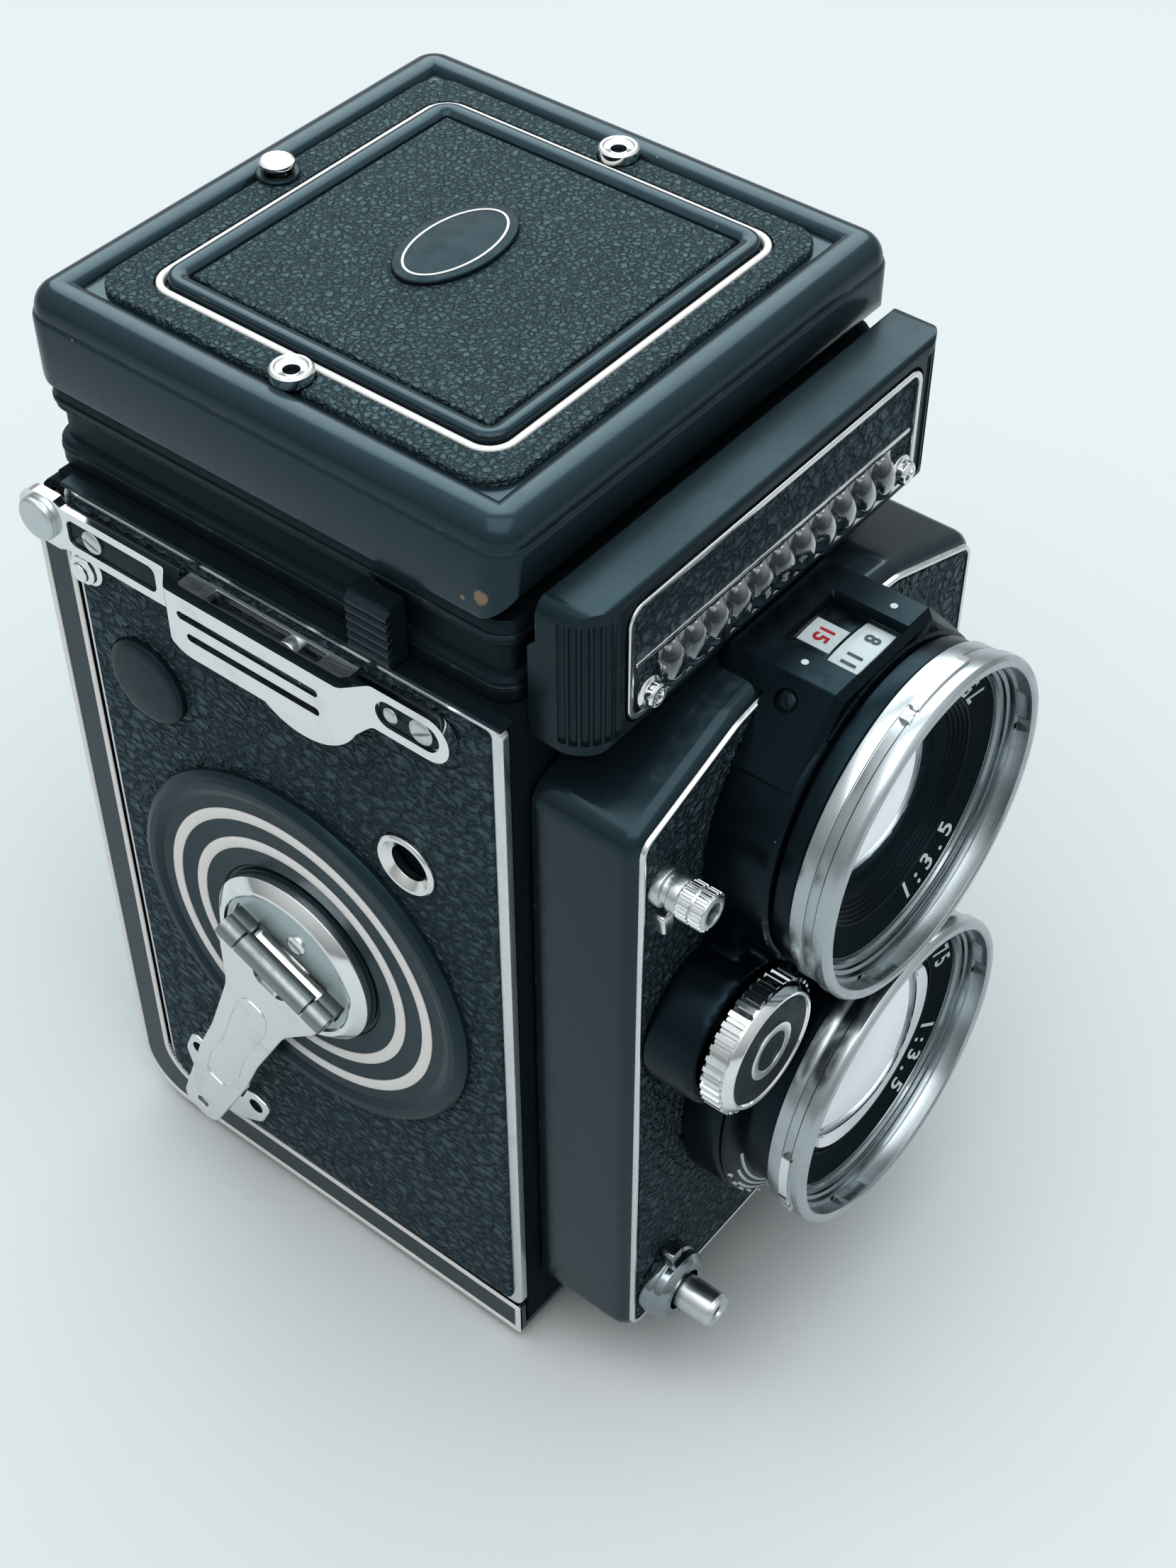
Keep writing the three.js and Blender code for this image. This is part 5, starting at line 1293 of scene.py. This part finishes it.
def small_controls():
    x, z = FLASH["x"], FLASH["z"]
    for part, low, high, teeth in (("a", -57.0, -55.5, 20), ("b", -58.8, -57.3, 20)):
        row = prism("y", toothed(x, z, 2.5, 0.28, teeth, 0.4), low, high)
        bore = rod("y", x, z, 1.6, low - 1, high + 1, 32)
        piece(f"flash_knurl_{part}", "standard", "chrome", cut(row, bore), ["flash_socket"] if part == "a" else [], edge=0.05)
    neck = eased([
        (1.3, -51.8), (2.5, -51.8), (2.5, -53.0), (2.0, -53.2), (2.0, -53.9), (2.35, -54.1), (2.35, -55.2),
        (2.15, -55.4), (2.15, -58.9), (1.9, -59.1), (1.3, -59.1),
    ], 0.1)
    piece("flash_collar", "standard", "satin", turned("y", x, z, neck, 64))
    core = eased([(0, -51.9), (1.35, -51.9), (1.35, -58.5), (0.6, -58.5), (0.5, -58.1), (0, -58.1)], 0.08)
    piece("flash_core", "standard", "plastic", turned("y", x, z, core, 48))
    lever = pad("y", [
        (x - 0.9, z - 7.6, 0.9), (x + 0.9, z - 7.6, 0.9), (x + 1.2, z - 4.2, 0.5), (x - 1.2, z - 4.2, 0.5),
    ], -51.8, -53.2, 0.3)
    piece("flash_lock_lever", "standard", "silver", lever)
    x, z = RELEASE["x"], RELEASE["z"]
    collar = eased([
        (3.0, -51.8), (5.3, -51.8), (5.3, -53.4), (5.0, -53.8), (5.0, -54.8), (4.2, -55.8), (3.0, -55.8),
    ], 0.15)
    key = pad("y", rectangle(x - 1.1, x + 1.1, z + 4.6, z + 7.4, 0.6), -52.6, -54.4, 0.25)
    # the guard's chrome wears the darkened polished metal: painted dark reflection
    piece("release_guard", "guard", "shaded_polish", joined(turned("y", x, z, collar, 80), key), ["release_collar"], edge=0.06)
    plunger = eased([
        (0, -47.6), (2.45, -47.6), (2.45, -60.7), (2.1, -61.4), (1.3, -61.4), (1.05, -60.9), (1.05, -57.5), (0, -57.5),
    ], 0.1)
    piece("release_plunger", "release", "satin", turned("y", x, z, plunger, 72), ["release_button"])
    # a black lining in the cable release socket: painted shade for the depth of the socket
    dark = [(0, -57.6), (1.0, -57.6), (1.0, -60.4), (0.92, -60.5), (0.8, -57.9), (0, -57.9)]
    piece("release_socket_shade", "release", "flock", turned("y", x, z, dark, 32))
    x = TIMER_X
    hub = turned("y", x, z, eased([
        (0, -51.8), (3.5, -51.8), (3.5, -53.9), (2.9, -54.6), (1.2, -54.8), (0, -54.8),
    ], 0.15), 72)
    arm = pad("y", [(x - 1.4, z + 2, 0.3), (x + 1.4, z + 2, 0.3), (x + 1.0, z + 7.6, 0.95), (x - 1.0, z + 7.6, 0.95)], -52.4, -53.8, 0.25)
    piece("self_timer_arm", "timer", "chrome", joined(hub, arm), ["self_timer_lever"], edge=0.06)


# ---------------------------------------------------------------- focusing side
def focusing_knob():
    y, z, face = FOCUS["y"], FOCUS["z"], FOCUS["face"]
    grip = prism("x", toothed(y, z, 19.5, 0.5, 72, 0.45), 43.4, 52.2)
    core = turned("x", y, z, eased([
        (13.3, 38.4), (18.3, 38.4), (18.6, 39.2), (18.6, 42.6), (19.1, 43.4), (19.1, 52.2), (18.4, face - 0.4),
        (17.6, face), (13.6, face), (13.3, face - 0.6),
    ], 0.2), 144)
    plate = turned("x", y, z, [(0, 38.4), (13.6, 38.4), (13.6, face - 1.1), (0, face - 1.1)], 72)
    shaft = rod("x", y, z, 3.2, 30, 38.5, 32)
    piece("focus_knob_grip", "focus_knob", "satin", joined(grip, core, plate, shaft), ["focus_knob"], edge=0.08)
    for name, inner, outer in (("distance", 14.4, 17.3),):
        ring = eased([(inner, face - 0.1), (outer, face - 0.1), (outer, face + 0.06), (inner, face + 0.06)], 0.05)
        piece(f"{name}_scale_band", "focus_knob", "satin_paint", turned("x", y, z, ring, 120))
    marks = []
    for k in range(36):
        turn = 2 * math.pi * k / 36
        low = 15.9 if k % 3 else 15.2
        mark = block((face, face + 0.12), (-0.09, 0.09), (low, 17.0))
        marks.append(moved(mark, Matrix.Translation((0, y, z)) @ Matrix.Rotation(turn, 4, "X")))
    piece("distance_marks", "focus_knob", "white_ink", together(*marks))
    dial = joined(
        prism("x", toothed(y, z, 12.9, 0.35, 54, 0.45), face - 0.7, face + 1.3),
        turned("x", y, z, eased([(0, face - 0.6), (12.4, face - 0.6), (12.4, face + 1.35), (11.8, face + 1.6), (0, face + 1.6)], 0.12), 120),
        rod("x", y, z, 1.5, face - 3.4, face - 0.6, 32),
    )
    piece("film_speed_disc", "speed_dial", "satin_paint", dial, ["film_speed_dial"], edge=0.06)
    hub = eased([(0, face + 1.5), (7.5, face + 1.5), (7.5, face + 2.3), (7.0, face + 2.6), (3.0, face + 2.6), (2.6, face + 2.3), (0, face + 2.3)], 0.1)
    piece("film_speed_hub", "speed_dial", "focus_metal", turned("x", y, z, hub, 96))
    upright = Matrix.Rotation(math.pi / 2, 4, "Z") @ Matrix.Rotation(math.pi / 2, 4, "X")
    for k, text in enumerate(("25", "50", "100", "200", "400", "800")):
        turn = 2 * math.pi * k / 6
        centre = Matrix.Translation((face + 1.63, y, z)) @ Matrix.Rotation(turn, 4, "X") @ Matrix.Translation((0, 0, 9.8))
        numeral(text, 2.2, (0, 0, 0), centre @ upright, "white_ink", f"speed_number_{text}", "speed_dial")
    for k, text in enumerate(("1", "2", "3", "5", "8", "10")):
        turn = 2 * math.pi * (k + 0.5) / 6
        centre = Matrix.Translation((face + 0.08, y, z)) @ Matrix.Rotation(turn, 4, "X") @ Matrix.Translation((0, 0, 15.1))
        numeral(text, 1.5, (0, 0, 0), centre @ upright, "white_ink", f"distance_number_{text}", "focus_knob")


def spool_knobs():
    for name, place in (("upper", TAKE_UP), ("lower", FEED)):
        y, z = place["y"], place["z"]
        knob = joined(
            prism("x", toothed(y, z, 8.2, 0.35, 40, 0.45), 39.6, 43.4),
            turned("x", y, z, eased([
                (0, 38.3), (7.0, 38.3), (7.4, 39.2), (7.7, 39.6), (7.7, 43.4), (7.0, 44.4), (5.6, 44.4),
                (5.2, 44.0), (0, 44.0),
            ], 0.15), 96),
            rod("x", y, z, 2.6, 28.2, 38.4, 32),
        )
        piece(f"{name}_knob_grip", f"{name}_knob", "satin", knob, [f"{name}_spool_knob"], edge=0.06)
        hub = eased([(0, 43.9), (2.2, 43.9), (2.2, 44.3), (1.8, 44.45), (0, 44.45)], 0.08)
        piece(f"{name}_knob_centre", f"{name}_knob", "chrome", turned("x", y, z, hub, 48))


# ---------------------------------------------------------------- back
def back():
    outer = [
        (BODY_FRONT + 0.3, 0, 0.6), (DOOR_REAR, 0, 8), (DOOR_REAR, 109.2, 0.5), (31, 109.2, 0.5),
        (31, 6.2, 5.3), (BODY_FRONT + 0.3, 6.2, 0.5),
    ]
    half, wall = 37.5, 1.2
    shell = prism("x", filleted(outer, 20), -half, half)
    inside = prism("x", filleted([
        (-40, 1.5, 0), (DOOR_REAR - 1.5, 1.5, 6.5), (DOOR_REAR - 1.5, 120, 0), (-40, 120, 0),
    ], 20), -half + wall, half - wall)
    y, z = BACK_HINGE["y"], BACK_HINGE["z"]
    web = block((-32, 32), (34.6, DOOR_REAR), (108.5, z))
    knuckle = rod("x", y, z, 2.3, -32, 32, 40)
    tools = [rod("x", y, z, 1.5, -33, 33, 32), rod("z", 0, 4, 6.6, -1, 3, 48), rod("z", 0, -20, 2.6, -1, 3, 32)]
    tools.append(prism("y", filleted(rectangle(-34.2, 34.2, 10.5, 104.5, 2.5)), DOOR_REAR - 0.5, DOOR_REAR + 1))
    piece("back_shell", "back", "paint", cut(joined(cut(shell, inside), web, knuckle), *tools), ["back_door"], edge=0.35)
    panel = rectangle(-33.9, 33.9, 10.8, 104.2, 2.3)
    piece("back_leather", "back", "side_leather", pad("y", panel, DOOR_REAR - 0.55, DOOR_REAR - 0.1, 0.3))
    for side, name in ((-1, "left"), (1, "right")):
        line = band("x", outer, 0.95, side * (half - 0.3), side * (half + 0.15), 0.15, 14)
        piece(f"back_edge_line_{name}", "back", "white_line", line)
    for index, (x, foot_y) in enumerate([(-27, -29), (-27, 27), (27, -29), (27, 27)]):
        foot = eased([(0, 0.5), (2.8, 0.5), (2.8, -1.2), (2.3, -1.7), (1.2, -1.7), (1.0, -1.4), (0, -1.4)], 0.2)
        piece(f"foot_{index + 1}", "back", "satin", turned("z", x, foot_y, foot, 48))
    socket = eased([(3.1, -1.4), (9, -1.4), (9, -0.3), (6.3, -0.3), (6.3, 1.2), (3.1, 1.2)], 0.12)
    piece("tripod_bush", "back", "focus_metal", turned("z", 0, 4, socket, 72), ["tripod_socket"])
    latch = joined(
        pad("z", [(-4.5, -24.5, 4), (12, -23, 2.6), (12, -17, 2.6), (-4.5, -15.5, 4)], -0.3, -1.4, 0.3),
        rod("z", 0, -20, 2.3, -0.4, 1.3, 32),
    )
    piece("latch_key", "latch", "satin", latch, ["back_latch"], edge=0.08)


# ---------------------------------------------------------------- stage, light and camera
def stage():
    mesh = bmesh.new()
    reach = 6.0
    corners = [mesh.verts.new((x, y, 0)) for x, y in ((-reach, -reach), (reach, -reach), (reach, reach), (-reach, reach))]
    mesh.faces.new(corners)
    data = bpy.data.meshes.new("floor")
    mesh.to_mesh(data)
    mesh.free()
    floor = bpy.data.objects.new("floor", data)
    bpy.context.scene.collection.objects.link(floor)
    material, tree, shader = principled("pale_floor", (0.63, 0.65, 0.655), 0.6)
    cloud = noise(tree, place_of(tree), 120, 2)
    tree.links.new(blended(tree, cloud, (0.62, 0.64, 0.645), (0.64, 0.66, 0.665)), shader.inputs["Base Color"])
    data.materials.append(material)


def area_light(name, place, target, size, power, colour):
    light = bpy.data.lights.new(name, "AREA")
    light.shape = "RECTANGLE"
    light.size, light.size_y = size
    light.energy = power
    light.color = colour
    lamp = bpy.data.objects.new(name, light)
    lamp.location = place
    lamp.rotation_mode = "QUATERNION"
    lamp.rotation_quaternion = (Vector(target) - Vector(place)).to_track_quat("-Z", "Y")
    bpy.context.scene.collection.objects.link(lamp)
    return lamp


def light():
    """A pale room with one large soft window above, and a pale card behind the object for its top faces to reflect."""
    scene = bpy.context.scene
    scene.view_settings.view_transform = "Standard"
    scene.view_settings.exposure = 0.30
    scene.view_settings.gamma = 0.74
    world = bpy.data.worlds.new("studio")
    world.use_nodes = True
    tree = world.node_tree
    up = node(tree, "SeparateXYZ", {0: node(tree, "TexCoord", {}).outputs["Generated"]}).outputs["Z"]
    sky = tree.nodes["Background"]
    sky.inputs["Color"].default_value = (0.975, 0.99, 0.995, 1)
    tree.links.new(ramp(tree, up, 0.0, 0.9, 0.34, 0.95), sky.inputs["Strength"])
    scene.world = world
    area_light("window", (-0.5, -0.3, 1.95), (0, 0, 0.05), (2.2, 2.2), 20.0, (1.0, 1.0, 0.985))
    card = area_light("card", (0.78, 0.62, 1.0), (0, 0, 0.1), (1.5, 0.9), 11.0, (0.93, 1.0, 1.0))
    card.visible_diffuse = False


VIEW_PLACE = (-174.6, -157.1, 295.0)  # the camera, in design coordinates
VIEW_PITCH = math.radians(45.53)  # looking down from the horizon
VIEW_HEADING = math.radians(-51.51)  # turned from +Y towards +X
VIEW_LENS = 55.85  # mm on a 36 mm long side


def view_camera():
    camera = bpy.data.cameras.new("view")
    camera.lens = VIEW_LENS
    camera.sensor_width = 36
    camera.clip_start = 0.01
    item = bpy.data.objects.new("view", camera)
    item.location = Vector(VIEW_PLACE) * MM + ORIGIN
    item.rotation_euler = (math.pi / 2 - VIEW_PITCH, 0, VIEW_HEADING)
    bpy.context.scene.collection.objects.link(item)
    bpy.context.scene.camera = item


# ---------------------------------------------------------------- assembly
hood_lid()
lid_covering()
finder_door()
blank_emblem()
lid_fittings()
magnifier()
hood_base()
for which in (-1, 1):
    hood_catch(which)
    strap_bracket(which)
    wheel(which)
side_cover(-1, "crank", [(CRANK["y"], CRANK["z"], 27.5), (COUNTER["y"], COUNTER["z"], 4.5), (CAP["y"], CAP["z"], 6.2)],
           [(CRANK["y"], CRANK["z"], 4.4), (COUNTER["y"], COUNTER["z"], 3.3), (BACK_HINGE["y"], BACK_HINGE["z"], 1.5)])
side_cover(1, "focus", [(FOCUS["y"], FOCUS["z"], 20), (FEED["y"], FEED["z"], 8.5), (TAKE_UP["y"], TAKE_UP["z"], 8.5)],
           [(FOCUS["y"], FOCUS["z"], 3.6), (FEED["y"], FEED["z"], 3), (TAKE_UP["y"], TAKE_UP["z"], 3)])
crank_side_fittings()
crank()
crank_lever()
crank_clip()
nameplate()
standard()
lens_casting()
lenses()
exposure_window()
small_controls()
focusing_knob()
spool_knobs()
back()
keep("flock", "body_casting", "light_shield_sleeve", "pressure_plate")
keep("mirror", "reflex_mirror")
keep("clear", "focusing_screen")
keep("plastic", "take_up_spool", "feed_spool", edge=0.2)
keep("flock", "counter_dial")
keep("satin_paint", "hood_flap_left", "hood_flap_right", "hood_flap_rear", edge=0.12)
keep("silver", "back_hinge_pin", edge=0.15)

stage()
light()
view_camera()
